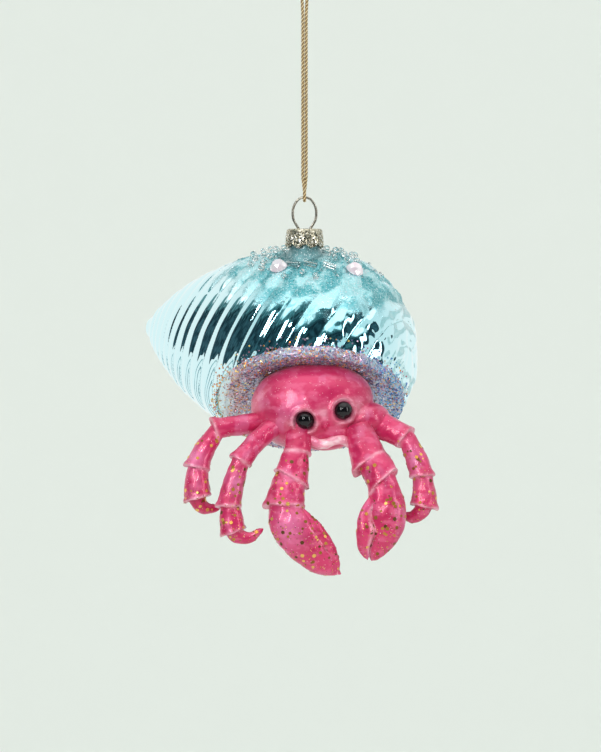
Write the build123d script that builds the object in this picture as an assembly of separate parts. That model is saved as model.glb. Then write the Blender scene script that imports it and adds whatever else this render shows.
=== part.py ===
from build123d import *
import math
import os

# A hanging blown-glass ornament: a hermit crab looking out of a ribbed, silvered shell.
# Millimetres. +X is the viewer's right, -Y is the side that the crab faces, +Z is up.
# The origin is the point of the cord's loop that rests on a hook.

# Cord
CORD_DIAMETER = 1.1
CORD_DROP = 84.8  # hook point down to the middle of the wire that the cord goes round
STRAND_GAP = 0.14  # between the two strands where they hang side by side
LOOP_OPENING = 2.8  # between the strands where the hook goes through
BIGHT_CLEARANCE = 0.06  # between the cord and the wire
BIGHT_HEIGHT = 9.0  # stretch in which the strands turn to pass before and behind the wire
KNOT_DIAMETER = 3.4
KNOT_HEIGHT = 3.2
KNOT_RISE = 5.0  # hook point up to the knot's underside
KNOT_LEAD = 2.0  # straight run of each strand out of the knot
LOOP_WIDEST = 4.0  # below the hook point
LOOP_CLOSES = 16.0  # below the hook point, where the strands lie side by side again
TAIL_LENGTH = 4.0
BIGHT_STRAIGHT = 0.25  # share of the bight's height left straight at each end of its turn
BEND_SHARE = 0.45  # share of a run that the bend at its end may take

# Wire hanger
WIRE_DIAMETER = 0.9
EYE_WIDTH = 9.3
EYE_HEIGHT = 12.1
EYE_CORNERS = [(0.45, 1.0), (1.0, 0.7), (1.0, 0.32)]  # shares of the eye's half width and height
EYE_FOOT = 0.03  # share of the eye's height that its ends stand off the cap
WIRE_SPACING = 3.9  # between the two legs where they pass through the cap
WIRE_LEG = 15.0  # below the cap's top
LEG_CLEARANCE = 0.05  # between a sprung leg and the neck's bore

# Metal cap
CAP_WALL = 0.5
CAP_HEIGHT = 6.5
CAP_CLEARANCE = 0.2
CAP_HOLE_CLEARANCE = 0.2
SCALLOP_COUNT = 8
SCALLOP_DIAMETER = 3.0
CAP_ROUNDING = 0.4

# Glass neck
NECK_DIAMETER = 10.8
NECK_WALL = 1.2
NECK_LENGTH = 7.1  # from the shell's crown up to the rim
NECK_SPREAD = 0.44  # how fast the neck widens below the cap, out per length down
NECK_FOOT = 10.0  # length of the widening part, most of it inside the shell

# Shell: a ball that runs out into a spire, ringed by ribs that widen away from the tip
SHELL_DIAMETER = 72.0
SHELL_WALL = 0.9
SPIRE_REACH = 67.0  # from the ball's centre to the tip
TIP_DIAMETER = 11.0
FLANK_RADIUS = 88.0  # bulge of the spire's side
SPIRE_YAW = 25.0  # how far the tip is turned away from the viewer, degrees
SPIRE_PITCH = 8.0  # how far the tip is raised, degrees
SHELL_SIDE = 3.6  # ball's centre to the right of the neck
SHELL_SETBACK = 8.2  # ball's centre behind the neck
RIB_COUNT = 18
RIB_GROWTH = 1.07
RIB_RISE = 0.07  # height of a rib as a share of its width
FRONT_SMOOTH = 10.0  # plain stretch at the pole opposite the tip

# Mouth of the shell, with a flared lip under a coat of glitter
MOUTH_DIAMETER = 61.5
MOUTH_PITCH = 32.0  # from straight down towards the viewer, degrees
MOUTH_SIDE = -1.3  # mouth's middle to the right of the ball's centre
MOUTH_DEPTH = 3.0  # from the edge of the mouth back to its floor
LIP_FLARE = 2.0
LIP_STAND = 1.6
LIP_ROOT = 3.0  # how far the lip runs back into the shell
LIP_THICKNESS = 2.4
GLITTER_THICKNESS = 0.35
GLITTER_REACH = 1.0  # how far the glitter runs back from the lip's rounded edge
LIP_CLEARANCE = 0.1  # between the glitter and the shell that is trimmed flat round it

# Crab's body, a hollow bun seated on the mouth's floor
BODY_WIDTH = 48.0
BODY_DEPTH = 31.0
BODY_END_RADIUS = 11.5
BODY_WALL = 1.0
BODY_SIDE = 2.5  # body's centre from the middle of the mouth
BODY_RISE = 12.4
BODY_REACH = 11.5
BODY_ROLL = 4.0  # right side raised, degrees
TRUNK_WIDTH = 38.0  # the part of the body that goes back into the mouth
TRUNK_DEPTH = 27.0
TRUNK_END_RADIUS = 10.0
TRUNK_PLACE = (0.0, 6.0, 2.0)  # from the body's centre
JAW_WIDTH = 21.0
JAW_DEPTH = 11.0
JAW_END_RADIUS = 4.0
JAW_PLACE = (2.5, -7.0, -10.5)

# Eyes, black beads in raised lids
EYE_DIAMETER = 6.6
EYE_PROUD = 1.6  # how far the bead's middle stands out of the body
EYE_CLEARANCE = 0.02
LID_DIAMETER = 8.6
LEFT_EYE = (-4.9, -4.6)  # across and up from the body's centre
RIGHT_EYE = (8.7, -2.2)

# Limbs, blown hollow. Each segment is a list of stations: across, back, up and radius,
# from a point under the body's centre, and starts inside the cuff of the one before.
LIMB_DROP = 1.4
LIMB_WALL = 0.9
LEG_FLATNESS = 0.88
CLAW_FLATNESS = 0.74
LEFT_REAR_LEG = [
    [(-18.0, -2.0, -4.0, 3.4), (-29.0, -6.0, -5.6, 2.8), (-37.0, -8.0, -6.6, 3.5)],
    [(-35.0, -7.8, -6.4, 2.8), (-40.0, -9.0, -14.0, 3.5), (-43.2, -10.0, -20.6, 4.6)],
    [(-42.4, -10.0, -18.4, 3.1), (-42.8, -10.2, -25.5, 4.1), (-42.5, -10.4, -31.4, 4.9)],
    [(-43.0, -10.3, -29.0, 3.2), (-42.2, -10.0, -32.6, 2.9),
     (-39.3, -9.0, -34.8, 2.2), (-34.3, -8.0, -34.6, 0.7)],
]
LEFT_FRONT_LEG = [
    [(-14.0, -7.5, -4.5, 3.8), (-22.0, -12.0, -11.5, 3.3), (-27.8, -14.0, -18.2, 4.0)],
    [(-26.8, -13.9, -16.2, 3.0), (-29.8, -15.0, -26.0, 3.6), (-31.8, -16.0, -34.3, 4.5)],
    [(-31.4, -15.9, -32.0, 3.0), (-30.6, -16.0, -38.2, 4.0), (-30.0, -16.0, -43.2, 4.7)],
    [(-30.4, -16.0, -40.8, 3.1), (-28.8, -16.2, -44.0, 2.8),
     (-24.2, -17.0, -45.0, 2.0), (-19.3, -17.5, -41.8, 0.7)],
]
LEFT_CLAW = [
    [(-8.0, -9.5, -7.0, 4.6), (-9.3, -13.0, -13.5, 4.8), (-10.0, -16.0, -20.8, 6.5)],
    [(-9.7, -15.3, -18.4, 4.6), (-10.8, -18.0, -26.0, 5.9), (-12.1, -19.5, -32.6, 7.5)],
    [(-12.0, -19.0, -30.2, 5.0), (-10.3, -20.0, -39.0, 7.2), (-5.2, -20.0, -46.3, 7.3),
     (1.5, -18.5, -53.4, 5.0), (8.0, -16.5, -57.8, 0.8)],
    [(-7.5, -20.8, -35.0, 2.4), (-0.9, -21.5, -41.8, 3.0),
     (3.7, -20.0, -48.2, 2.5), (7.4, -17.5, -56.0, 0.7)],
]
RIGHT_CLAW = [
    [(14.0, -9.5, -6.0, 4.6), (16.2, -13.0, -12.5, 5.4), (17.9, -16.0, -19.2, 6.6)],
    [(18.0, -15.3, -16.2, 4.8), (21.0, -18.0, -21.0, 5.7), (23.2, -19.5, -25.4, 6.4)],
    [(22.4, -19.2, -22.8, 4.6), (24.0, -20.0, -34.5, 6.8), (23.4, -20.0, -42.0, 6.3),
     (20.8, -19.0, -48.6, 3.9), (18.6, -18.0, -53.2, 0.9)],
    [(19.0, -20.8, -28.0, 2.6), (15.8, -21.5, -38.5, 3.2),
     (15.5, -20.5, -46.0, 2.8), (17.4, -19.0, -52.6, 0.7)],
]
RIGHT_REAR_LEG = [
    [(18.0, -2.0, -2.5, 3.8), (25.5, -5.0, -6.0, 3.4), (31.2, -8.0, -9.8, 3.9)],
    [(30.2, -7.6, -7.8, 2.9), (34.3, -9.0, -16.5, 3.6), (36.8, -10.0, -23.7, 4.5)],
    [(36.3, -9.9, -21.4, 2.9), (37.4, -10.2, -28.5, 4.0), (37.5, -10.4, -34.3, 5.0)],
    [(37.7, -10.3, -32.0, 3.2), (36.6, -10.0, -35.6, 2.8),
     (33.2, -9.4, -37.8, 2.2), (29.3, -9.0, -37.0, 0.7)],
]
RIGHT_FRONT_LEG = [
    [(15.0, -2.0, -6.5, 3.4), (19.5, -4.0, -13.0, 2.9), (22.5, -4.0, -18.2, 3.3)],
    [(22.0, -4.0, -16.2, 2.7), (23.0, -3.5, -24.0, 3.2), (22.6, -3.0, -30.8, 3.8)],
    [(22.7, -3.0, -28.6, 2.5), (22.0, -2.5, -34.5, 3.3), (21.3, -2.0, -39.2, 3.9)],
    [(21.6, -2.0, -37.0, 2.5), (20.4, -2.0, -40.4, 2.2),
     (18.0, -2.0, -42.0, 1.6), (15.2, -2.0, -41.0, 0.6)],
]
LIMBS = {
    "left_rear_leg": (LEFT_REAR_LEG, LEG_FLATNESS),
    "left_front_leg": (LEFT_FRONT_LEG, LEG_FLATNESS),
    "left_claw": (LEFT_CLAW, CLAW_FLATNESS),
    "right_claw": (RIGHT_CLAW, CLAW_FLATNESS),
    "right_rear_leg": (RIGHT_REAR_LEG, LEG_FLATNESS),
    "right_front_leg": (RIGHT_FRONT_LEG, LEG_FLATNESS),
}

# Stones and beads glued round the neck. Places are along the shell and round it from the neck.
GLUE_GAP = 0.05
GEM_DIAMETER = 6.5
GEM_HEIGHT = 2.6
GEM_TABLE = 3.8
GEM_GIRDLE = 0.5
GEM_SIDES = 8
GEM_PLACES = [(-3.5, 22.0), (21.0, 4.0)]
BEAD_DIAMETER = 2.2
BEAD_COUNT = 34
BEAD_FIELD_ALONG = 27.0
BEAD_FIELD_AROUND = 40.0
BEAD_CLEARING = 10.0  # no bead is nearer than this to the neck's middle
BEAD_SPACING = 3.0  # least distance of a bead's middle from a stone's edge or another bead's middle
BEAD_SEAT = 1.04  # a bead's lift over its radius, so that it also clears the groove of two ribs
SCATTER_RINGS = 97
SCATTER_TURN = 137.508  # degrees from one tried place to the next
BUGLE_LENGTH = 4.6
BUGLE_DIAMETER = 1.9
BUGLE_BORE = 0.8
BUGLE_PLACES = [(1.5, 19.0), (7.5, 17.0), (13.5, 13.0)]
SEAT_SAMPLES = 9  # places at which the ribs under a stone are looked at

# Heights down the hanging line
EYE_TOP_Z = -CORD_DROP
CAP_TOP_Z = EYE_TOP_Z + WIRE_DIAMETER / 2 - EYE_HEIGHT
NECK_TOP_Z = CAP_TOP_Z - CAP_WALL
NECK_RADIUS = NECK_DIAMETER / 2
BORE_RADIUS = NECK_RADIUS - NECK_WALL
BALL_RADIUS = SHELL_DIAMETER / 2
BALL_CENTRE = Vector(SHELL_SIDE, SHELL_SETBACK, NECK_TOP_Z - NECK_LENGTH - BALL_RADIUS)

# The shell's own axes: along to the pole opposite the tip, up, and to the front
YAW = math.radians(SPIRE_YAW)
PITCH = math.radians(SPIRE_PITCH)
SHELL_AXIS = Vector(math.cos(YAW) * math.cos(PITCH), -math.sin(YAW) * math.cos(PITCH), -math.sin(PITCH))
SHELL_UP = Vector(math.cos(YAW) * math.sin(PITCH), -math.sin(YAW) * math.sin(PITCH), math.cos(PITCH))
SHELL_SIDEWAYS = SHELL_AXIS.cross(SHELL_UP)
SHELL_PLANE = Plane(origin=BALL_CENTRE, x_dir=SHELL_AXIS, z_dir=SHELL_UP)

# The mouth's own axes: across, up its face and out of it
MOUTH_ANGLE = math.radians(MOUTH_PITCH)
MOUTH_OUT = Vector(0, -math.sin(MOUTH_ANGLE), -math.cos(MOUTH_ANGLE))
MOUTH_PLANE = Plane(origin=BALL_CENTRE + Vector(MOUTH_SIDE, 0, 0), x_dir=(1, 0, 0), z_dir=MOUTH_OUT)
MOUTH_RADIUS = MOUTH_DIAMETER / 2
MOUTH_EDGE = math.sqrt(BALL_RADIUS**2 - MOUTH_RADIUS**2)
MOUTH_FLOOR = MOUTH_EDGE - MOUTH_DEPTH
BODY_CENTRE = MOUTH_PLANE.from_local_coords(Vector(BODY_SIDE, BODY_RISE, MOUTH_EDGE + BODY_REACH))
BODY_PLANE = Plane(BODY_CENTRE).rotated((0, -BODY_ROLL, 0))

# The shell's smooth outline, as arcs round the tip, along the flank and over the ball. An arc
# has a centre, a radius and the turns of its outward normal from straight up, start to end.
TIP_RADIUS = TIP_DIAMETER / 2
TIP_PLACE = SPIRE_REACH - TIP_RADIUS
FLANK_AXIAL = (
    (FLANK_RADIUS - TIP_RADIUS) ** 2 - (FLANK_RADIUS - BALL_RADIUS) ** 2 - TIP_PLACE**2
) / (2 * TIP_PLACE)
FLANK_RADIAL = -math.sqrt((FLANK_RADIUS - BALL_RADIUS) ** 2 - FLANK_AXIAL**2)
TIP_TURN = math.atan2(FLANK_AXIAL + TIP_PLACE, -FLANK_RADIAL)
BALL_TURN = math.atan2(FLANK_AXIAL, -FLANK_RADIAL)
OUTLINE_ARCS = [
    ((-TIP_PLACE, 0.0), TIP_RADIUS, math.pi / 2, TIP_TURN),
    ((FLANK_AXIAL, FLANK_RADIAL), FLANK_RADIUS, TIP_TURN, BALL_TURN),
    ((0.0, 0.0), BALL_RADIUS, BALL_TURN, -math.pi / 2),
]
TIP_ARC, FLANK_ARC, BALL_ARC = [radius * (start - end) for _, radius, start, end in OUTLINE_ARCS]
OUTLINE = TIP_ARC + FLANK_ARC + BALL_ARC
FIRST_RIB = (OUTLINE - FRONT_SMOOTH - TIP_ARC) * (RIB_GROWTH - 1) / (RIB_GROWTH**RIB_COUNT - 1)


def outline_turn(along):
    """The arc that holds a distance along the outline from the tip, and the normal's turn there."""
    for centre, radius, start, end in OUTLINE_ARCS[:-1]:
        if along < radius * (start - end):
            return centre, radius, start - along / radius
        along -= radius * (start - end)
    centre, radius, start, _ = OUTLINE_ARCS[-1]
    return centre, radius, start - along / radius


def outline_point(along, rise=0.0):
    """Axial and radial place at a distance along the outline from the tip, raised off it."""
    centre, radius, turn = outline_turn(along)
    reach = radius + rise
    return (centre[0] - reach * math.sin(turn), centre[1] + reach * math.cos(turn))


def outline_normal(along):
    """Axial and radial parts of the outward normal at a distance along the outline."""
    _, _, turn = outline_turn(along)
    return (-math.sin(turn), math.cos(turn))


def arc_between(start, end, rise_start=0.0, rise_middle=0.0):
    """An arc between two places on the outline, through its raised middle."""
    middle = outline_point((start + end) / 2, rise_middle)
    return ThreePointArc(outline_point(start, rise_start), middle, outline_point(end, rise_start))


def spun_shell(edges, rise):
    """Closes an outline along the shell's axis and spins it into a solid in place."""
    axis_line = Line(outline_point(OUTLINE, rise), outline_point(0.0, rise))
    return SHELL_PLANE * revolve(make_face([*edges, axis_line]), Axis.X)


def ribbed_solid():
    """The shell's outside, filled, with its ribs."""
    edges = [arc_between(0.0, TIP_ARC)]
    start = TIP_ARC
    for rib in range(RIB_COUNT):
        width = FIRST_RIB * RIB_GROWTH**rib
        edges.append(arc_between(start, start + width, 0.0, RIB_RISE * width))
        start += width
    edges.append(arc_between(start, OUTLINE))
    return spun_shell(edges, 0.0)


def smooth_solid(rise):
    """The shell's smooth form, moved out by a rise, or in by a negative one."""
    joins = [0.0, TIP_ARC, TIP_ARC + FLANK_ARC, OUTLINE]
    edges = [arc_between(start, end, rise, rise) for start, end in zip(joins, joins[1:])]
    return spun_shell(edges, rise)


def mouth_disc(radius, start, end):
    """A disc on the mouth's axis between two distances from the ball's centre."""
    disc = Cylinder(radius, end - start, align=(Align.CENTER, Align.CENTER, Align.MIN))
    return MOUTH_PLANE * Pos(0, 0, start) * disc


def lip_run():
    """The lip's root and edge in its section, out from the mouth's axis and along it, and its lean."""
    root = Vector(MOUTH_RADIUS, MOUTH_EDGE - LIP_ROOT)
    edge = Vector(MOUTH_RADIUS + LIP_FLARE - LIP_THICKNESS / 2, MOUTH_EDGE + LIP_STAND)
    run = edge - root
    return root, edge, math.degrees(math.atan2(run.Y, run.X))


def make_lip():
    """The flared lip round the mouth."""
    root, edge, lean = lip_run()
    middle = (root + edge) * 0.5
    section = Pos(middle.X, middle.Y) * SlotCenterToCenter((edge - root).length, LIP_THICKNESS, lean)
    return MOUTH_PLANE * revolve(Plane.XZ * section, Axis.Z)


def neck_rod(radius, bottom):
    """A rod on the neck's axis from its rim down to a height."""
    rod = Cylinder(radius, NECK_TOP_Z - bottom, align=(Align.CENTER, Align.CENTER, Align.MAX))
    return Pos(0, 0, NECK_TOP_Z) * rod


def make_neck_foot():
    """The widening foot of the neck, which reaches down into the shell's wall."""
    low_radius = NECK_RADIUS + NECK_SPREAD * NECK_FOOT
    foot = Cone(low_radius, NECK_RADIUS, NECK_FOOT, align=(Align.CENTER, Align.CENTER, Align.MAX))
    return Pos(0, 0, NECK_TOP_Z - CAP_HEIGHT) * foot


def make_shell():
    """The hollow shell with its neck, its lip and the floor that closes its mouth."""
    far = 2 * BALL_RADIUS
    hollow = smooth_solid(-SHELL_WALL) - mouth_disc(far, MOUTH_FLOOR - SHELL_WALL, far)
    throat = mouth_disc(MOUTH_RADIUS - LIP_THICKNESS / 2, MOUTH_FLOOR, far)
    trimmed = MOUTH_RADIUS + LIP_FLARE + GLITTER_THICKNESS + LIP_CLEARANCE
    mouth_cut = mouth_disc(trimmed, MOUTH_EDGE, far)
    outside = ribbed_solid() + neck_rod(NECK_RADIUS, BALL_CENTRE.Z) + make_neck_foot()
    outside = outside - mouth_cut + make_lip()
    return outside - throat - hollow - neck_rod(BORE_RADIUS, BALL_CENTRE.Z)


def make_lip_glitter():
    """The coat of glitter over the lip's rounded edge."""
    _, edge, lean = lip_run()
    thick = LIP_THICKNESS / 2
    band = SlotCenterToCenter(2 * GLITTER_REACH, LIP_THICKNESS + 2 * GLITTER_THICKNESS)
    band -= SlotCenterToCenter(2 * GLITTER_REACH, LIP_THICKNESS)
    half = thick + GLITTER_THICKNESS
    band &= Pos(half, 0) * Rectangle(2 * half, 2 * LIP_THICKNESS)
    section = Pos(edge.X, edge.Y) * Rot(Z=lean) * Pos(-GLITTER_REACH, 0) * band
    return MOUTH_PLANE * revolve(Plane.XZ * section, Axis.Z)


def oval_of_revolution(width, depth, end_radius, place):
    """A bun: a four-centre oval spun about its own width, at a place from the body's centre."""
    half = width / 2
    tall = depth / 2
    end_place = half - end_radius
    flank_radius = (end_place**2 + tall**2 - end_radius**2) / (2 * (tall - end_radius))
    drop = flank_radius - tall
    turn = math.atan2(drop, end_place)
    join = (end_place + end_radius * math.cos(turn), end_radius * math.sin(turn))
    shoulder = (end_place + end_radius * math.cos(turn / 2), end_radius * math.sin(turn / 2))
    edges = [
        ThreePointArc((half, 0), shoulder, join),
        ThreePointArc(join, (0, tall), (-join[0], join[1])),
        ThreePointArc((-join[0], join[1]), (-shoulder[0], shoulder[1]), (-half, 0)),
        Line((-half, 0), (half, 0)),
    ]
    return BODY_PLANE * Pos(*place) * revolve(make_face(edges), Axis.X)


def body_outside():
    """The body's outside without its hollow, which the limbs are cut by."""
    dome = oval_of_revolution(BODY_WIDTH, BODY_DEPTH, BODY_END_RADIUS, (0, 0, 0))
    trunk = oval_of_revolution(TRUNK_WIDTH, TRUNK_DEPTH, TRUNK_END_RADIUS, TRUNK_PLACE)
    return dome + trunk + oval_of_revolution(JAW_WIDTH, JAW_DEPTH, JAW_END_RADIUS, JAW_PLACE)


def body_hollow():
    """The space inside the body and its trunk."""
    ovals = [
        (BODY_WIDTH, BODY_DEPTH, BODY_END_RADIUS, (0, 0, 0)),
        (TRUNK_WIDTH, TRUNK_DEPTH, TRUNK_END_RADIUS, TRUNK_PLACE),
    ]
    thin = 2 * BODY_WALL
    return Part() + [
        oval_of_revolution(width - thin, depth - thin, end_radius - BODY_WALL, place)
        for width, depth, end_radius, place in ovals
    ]


def eye_centre(place):
    """The middle of an eye bead, standing out of the front of the body."""
    across, up = place
    reach = BODY_DEPTH / 2 * math.sqrt(1 - (2 * across / BODY_WIDTH) ** 2)
    out = math.sqrt(reach**2 - up**2) - EYE_DIAMETER / 2 + EYE_PROUD
    return BODY_PLANE.from_local_coords(Vector(across, -out, up))


def make_eye(place, clearance=0.0):
    """An eye bead, or the hollow that it sits in."""
    return Pos(*eye_centre(place)) * Sphere(EYE_DIAMETER / 2 + clearance)


def make_body():
    """The hollow body with its jaw and eyelids, open where it sits on the mouth's floor."""
    far = 2 * BALL_RADIUS
    hollow = body_hollow()
    for place in (LEFT_EYE, RIGHT_EYE):
        hollow -= Pos(*eye_centre(place)) * Sphere(LID_DIAMETER / 2)
    body = body_outside() - hollow
    for place in (LEFT_EYE, RIGHT_EYE):
        body -= make_eye(place, EYE_CLEARANCE)
    return body & mouth_disc(far, MOUTH_FLOOR, MOUTH_FLOOR + far)


def limb_segment(stations, flatness, inset):
    """A lofted segment through oval stations, or its hollow where the inset is the wall."""
    origin = BODY_CENTRE - Vector(0, 0, LIMB_DROP)
    centres = [origin + Vector(*station[:3]) for station in stations]
    sections = []
    for index, station in enumerate(stations):
        before = centres[max(index - 1, 0)]
        after = centres[min(index + 1, len(centres) - 1)]
        along = (after - before).normalized()
        across = Vector(0, 1, 0).cross(along).normalized()
        oval = Ellipse(station[3] - inset, station[3] * flatness - inset)
        sections.append(Plane(centres[index], x_dir=across, z_dir=along) * oval)
    return loft(sections)


def limb_hollow(stations, flatness):
    """The hollow of a segment, which stops short of its cuff by the wall."""
    kept = [station for station in stations if station[3] * flatness > 2 * LIMB_WALL]
    before = Vector(*kept[-2][:3])
    last = Vector(*kept[-1][:3])
    pulled = last + (before - last).normalized() * LIMB_WALL
    kept[-1] = (pulled.X, pulled.Y, pulled.Z, kept[-1][3])
    return limb_segment(kept, flatness, LIMB_WALL)


def make_limb(segments, flatness, body):
    """A limb of overlapping segments, hollow down to its last one, cut to sit on the body."""
    limb = Part() + [limb_segment(stations, flatness, 0.0) for stations in segments]
    hollow = Part() + [limb_hollow(stations, flatness) for stations in segments[:-1]]
    return limb - hollow - body


def rib_height(along):
    """How high the ribs stand over the smooth outline at a distance along it."""
    past = along - TIP_ARC
    rib = math.floor(math.log(1 + past * (RIB_GROWTH - 1) / FIRST_RIB) / math.log(RIB_GROWTH))
    if rib >= RIB_COUNT:
        return 0.0
    width = FIRST_RIB * RIB_GROWTH**rib
    share = (past - (width - FIRST_RIB) / (RIB_GROWTH - 1)) / width
    return 4 * share * (1 - share) * RIB_RISE * width


def place_on_shell(place, reach, lift):
    """A plane over the ribs within a reach, at a place along and round the shell from the neck."""
    along, around = place
    to_neck = Vector(0, 0, NECK_TOP_Z - NECK_LENGTH) - BALL_CENTRE
    from_pole = math.acos(to_neck.dot(SHELL_AXIS) / to_neck.length)
    neck_around = math.atan2(to_neck.dot(SHELL_SIDEWAYS), to_neck.dot(SHELL_UP))
    distance = OUTLINE - BALL_RADIUS * from_pole + along
    steps = [2 * sample / (SEAT_SAMPLES - 1) - 1 for sample in range(SEAT_SAMPLES)]
    rise = lift + max(rib_height(distance + reach * step) for step in steps)
    turn = neck_around + math.radians(around)
    spoke = SHELL_UP * math.cos(turn) + SHELL_SIDEWAYS * math.sin(turn)
    axial, radial = outline_point(distance, rise)
    normal_axial, normal_radial = outline_normal(distance)
    origin = BALL_CENTRE + SHELL_AXIS * axial + spoke * radial
    normal = SHELL_AXIS * normal_axial + spoke * normal_radial
    return Plane(origin, x_dir=SHELL_AXIS.cross(spoke), z_dir=normal)


def make_gems():
    """Flat-backed faceted stones."""
    girdle = extrude(RegularPolygon(GEM_DIAMETER / 2, GEM_SIDES), GEM_GIRDLE)
    low = Pos(0, 0, GEM_GIRDLE) * RegularPolygon(GEM_DIAMETER / 2, GEM_SIDES)
    table = Pos(0, 0, GEM_HEIGHT) * RegularPolygon(GEM_TABLE / 2, GEM_SIDES)
    stone = girdle + loft([low, table], ruled=True)
    return [place_on_shell(place, GEM_DIAMETER / 2, GLUE_GAP) * stone for place in GEM_PLACES]


def make_bugles():
    """Short tube beads lying along the shell."""
    bugle = Cylinder(BUGLE_DIAMETER / 2, BUGLE_LENGTH) - Cylinder(BUGLE_BORE / 2, BUGLE_LENGTH)
    lift = GLUE_GAP + BUGLE_DIAMETER / 2
    return [place_on_shell(place, BUGLE_LENGTH / 2, lift) * Rot(X=90) * bugle for place in BUGLE_PLACES]


def make_beads():
    """Small round beads scattered round the neck, clear of the stones and of each other."""
    lift = GLUE_GAP + BEAD_SEAT * BEAD_DIAMETER / 2
    taken = [(place_on_shell(place, 0.0, lift).origin, GEM_DIAMETER / 2) for place in GEM_PLACES]
    taken += [(place_on_shell(place, 0.0, lift).origin, BUGLE_LENGTH / 2) for place in BUGLE_PLACES]
    beads = []
    step = 0
    while len(beads) < BEAD_COUNT:
        step += 1
        spread = math.sqrt((step % SCATTER_RINGS) / SCATTER_RINGS)
        turn = math.radians(SCATTER_TURN * step)
        along = BEAD_FIELD_ALONG * spread * math.cos(turn)
        around = BEAD_FIELD_AROUND * spread * math.sin(turn)
        centre = place_on_shell((along, around), 0.0, lift).origin
        if math.hypot(centre.X, centre.Y) < BEAD_CLEARING:
            continue
        if any((centre - middle).length < reach + BEAD_SPACING for middle, reach in taken):
            continue
        taken.append((centre, 0.0))
        beads.append(Pos(*centre) * Sphere(BEAD_DIAMETER / 2))
    return beads


def make_cap():
    """The metal cap, with a scalloped skirt and two holes for the wire."""
    inner = NECK_RADIUS + CAP_CLEARANCE
    outer = inner + CAP_WALL
    cup = Cylinder(outer, CAP_HEIGHT, align=(Align.CENTER, Align.CENTER, Align.MAX))
    cup = fillet(cup.edges().sort_by(Axis.Z)[-1], CAP_ROUNDING)
    cup -= Pos(0, 0, -CAP_WALL) * Cylinder(inner, CAP_HEIGHT, align=(Align.CENTER, Align.CENTER, Align.MAX))
    notch = Pos(0, 0, -CAP_HEIGHT) * Rot(Y=90) * Cylinder(
        SCALLOP_DIAMETER / 2, 2 * outer, align=(Align.CENTER, Align.CENTER, Align.MIN)
    )
    for turn in range(SCALLOP_COUNT):
        cup -= Rot(Z=360 * (turn + 0.5) / SCALLOP_COUNT) * notch
    hole = Cylinder(WIRE_DIAMETER / 2 + CAP_HOLE_CLEARANCE, 2 * CAP_WALL + CAP_HEIGHT)
    for side in (-1, 1):
        cup -= Pos(side * WIRE_SPACING / 2, 0, 0) * hole
    return Pos(0, 0, CAP_TOP_Z) * cup


def tube(path, diameter):
    """A round tube along a path."""
    start = Plane(origin=path @ 0, z_dir=path % 0)
    return sweep(start * Circle(diameter / 2), path)


def make_wire():
    """The wire hanger: an oval eye over the cap and two sprung legs in the neck."""
    wide = EYE_WIDTH / 2 - WIRE_DIAMETER / 2
    tall = EYE_HEIGHT - WIRE_DIAMETER / 2
    near = WIRE_SPACING / 2
    foot = BORE_RADIUS - WIRE_DIAMETER / 2 - LEG_CLEARANCE
    right = [(across * wide, up * tall) for across, up in EYE_CORNERS]
    right += [(near, EYE_FOOT * tall), (near, -2 * CAP_WALL), (foot, -WIRE_LEG)]
    left = [(-across, up) for across, up in reversed(right)]
    corners = [(across, 0, CAP_TOP_Z + up) for across, up in left + right]
    return tube(FilletPolyline(*corners, radius=bend_radii(corners)), WIRE_DIAMETER)


def bend_radii(points):
    """The largest even bends that the runs of a route leave room for."""
    radii = []
    for before, point, after in zip(points, points[1:], points[2:]):
        run_in = Vector(*point) - Vector(*before)
        run_out = Vector(*after) - Vector(*point)
        turn = math.radians(run_in.get_angle(run_out))
        radii.append(BEND_SHARE * min(run_in.length, run_out.length) / math.tan(turn / 2))
    return radii


def make_strands():
    """The two strands from the knot, open for the hook, down to the bight."""
    apart = (CORD_DIAMETER + STRAND_GAP) / 2
    bottom = EYE_TOP_Z + BIGHT_HEIGHT
    strands = []
    for side in (-1, 1):
        route = [
            (side * apart, 0, KNOT_RISE),
            (side * apart, 0, KNOT_RISE - KNOT_LEAD),
            (side * (LOOP_OPENING + CORD_DIAMETER) / 2, 0, -LOOP_WIDEST),
            (side * apart, 0, -LOOP_CLOSES),
            (side * apart, 0, bottom),
        ]
        radii = bend_radii(route)
        print("strand bend radii", [round(radius, 1) for radius in radii])
        strands.append(tube(FilletPolyline(*route, radius=radii), CORD_DIAMETER))
    return strands


def make_bight():
    """The cord's lowest stretch, which turns a quarter and goes round the wire."""
    apart = (CORD_DIAMETER + STRAND_GAP) / 2
    round_wire = (WIRE_DIAMETER + CORD_DIAMETER) / 2 + BIGHT_CLEARANCE
    top = EYE_TOP_Z + BIGHT_HEIGHT
    down = [
        (-apart, 0, top),
        (-apart, 0, top - BIGHT_STRAIGHT * BIGHT_HEIGHT),
        (0, -round_wire, EYE_TOP_Z + BIGHT_STRAIGHT * BIGHT_HEIGHT),
        (0, -round_wire, EYE_TOP_Z),
    ]
    up = [(-across, -back, height) for across, back, height in reversed(down)]
    radii = bend_radii(down)
    print("bight bend radii", [round(radius, 1) for radius in radii], "round the wire", round_wire)
    falling = FilletPolyline(*down, radius=radii)
    turning = ThreePointArc(down[-1], (0, 0, EYE_TOP_Z - round_wire), up[0])
    rising = FilletPolyline(*up, radius=radii[::-1])
    return tube(Wire([*falling.edges(), *turning.edges(), *rising.edges()]), CORD_DIAMETER)


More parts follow.
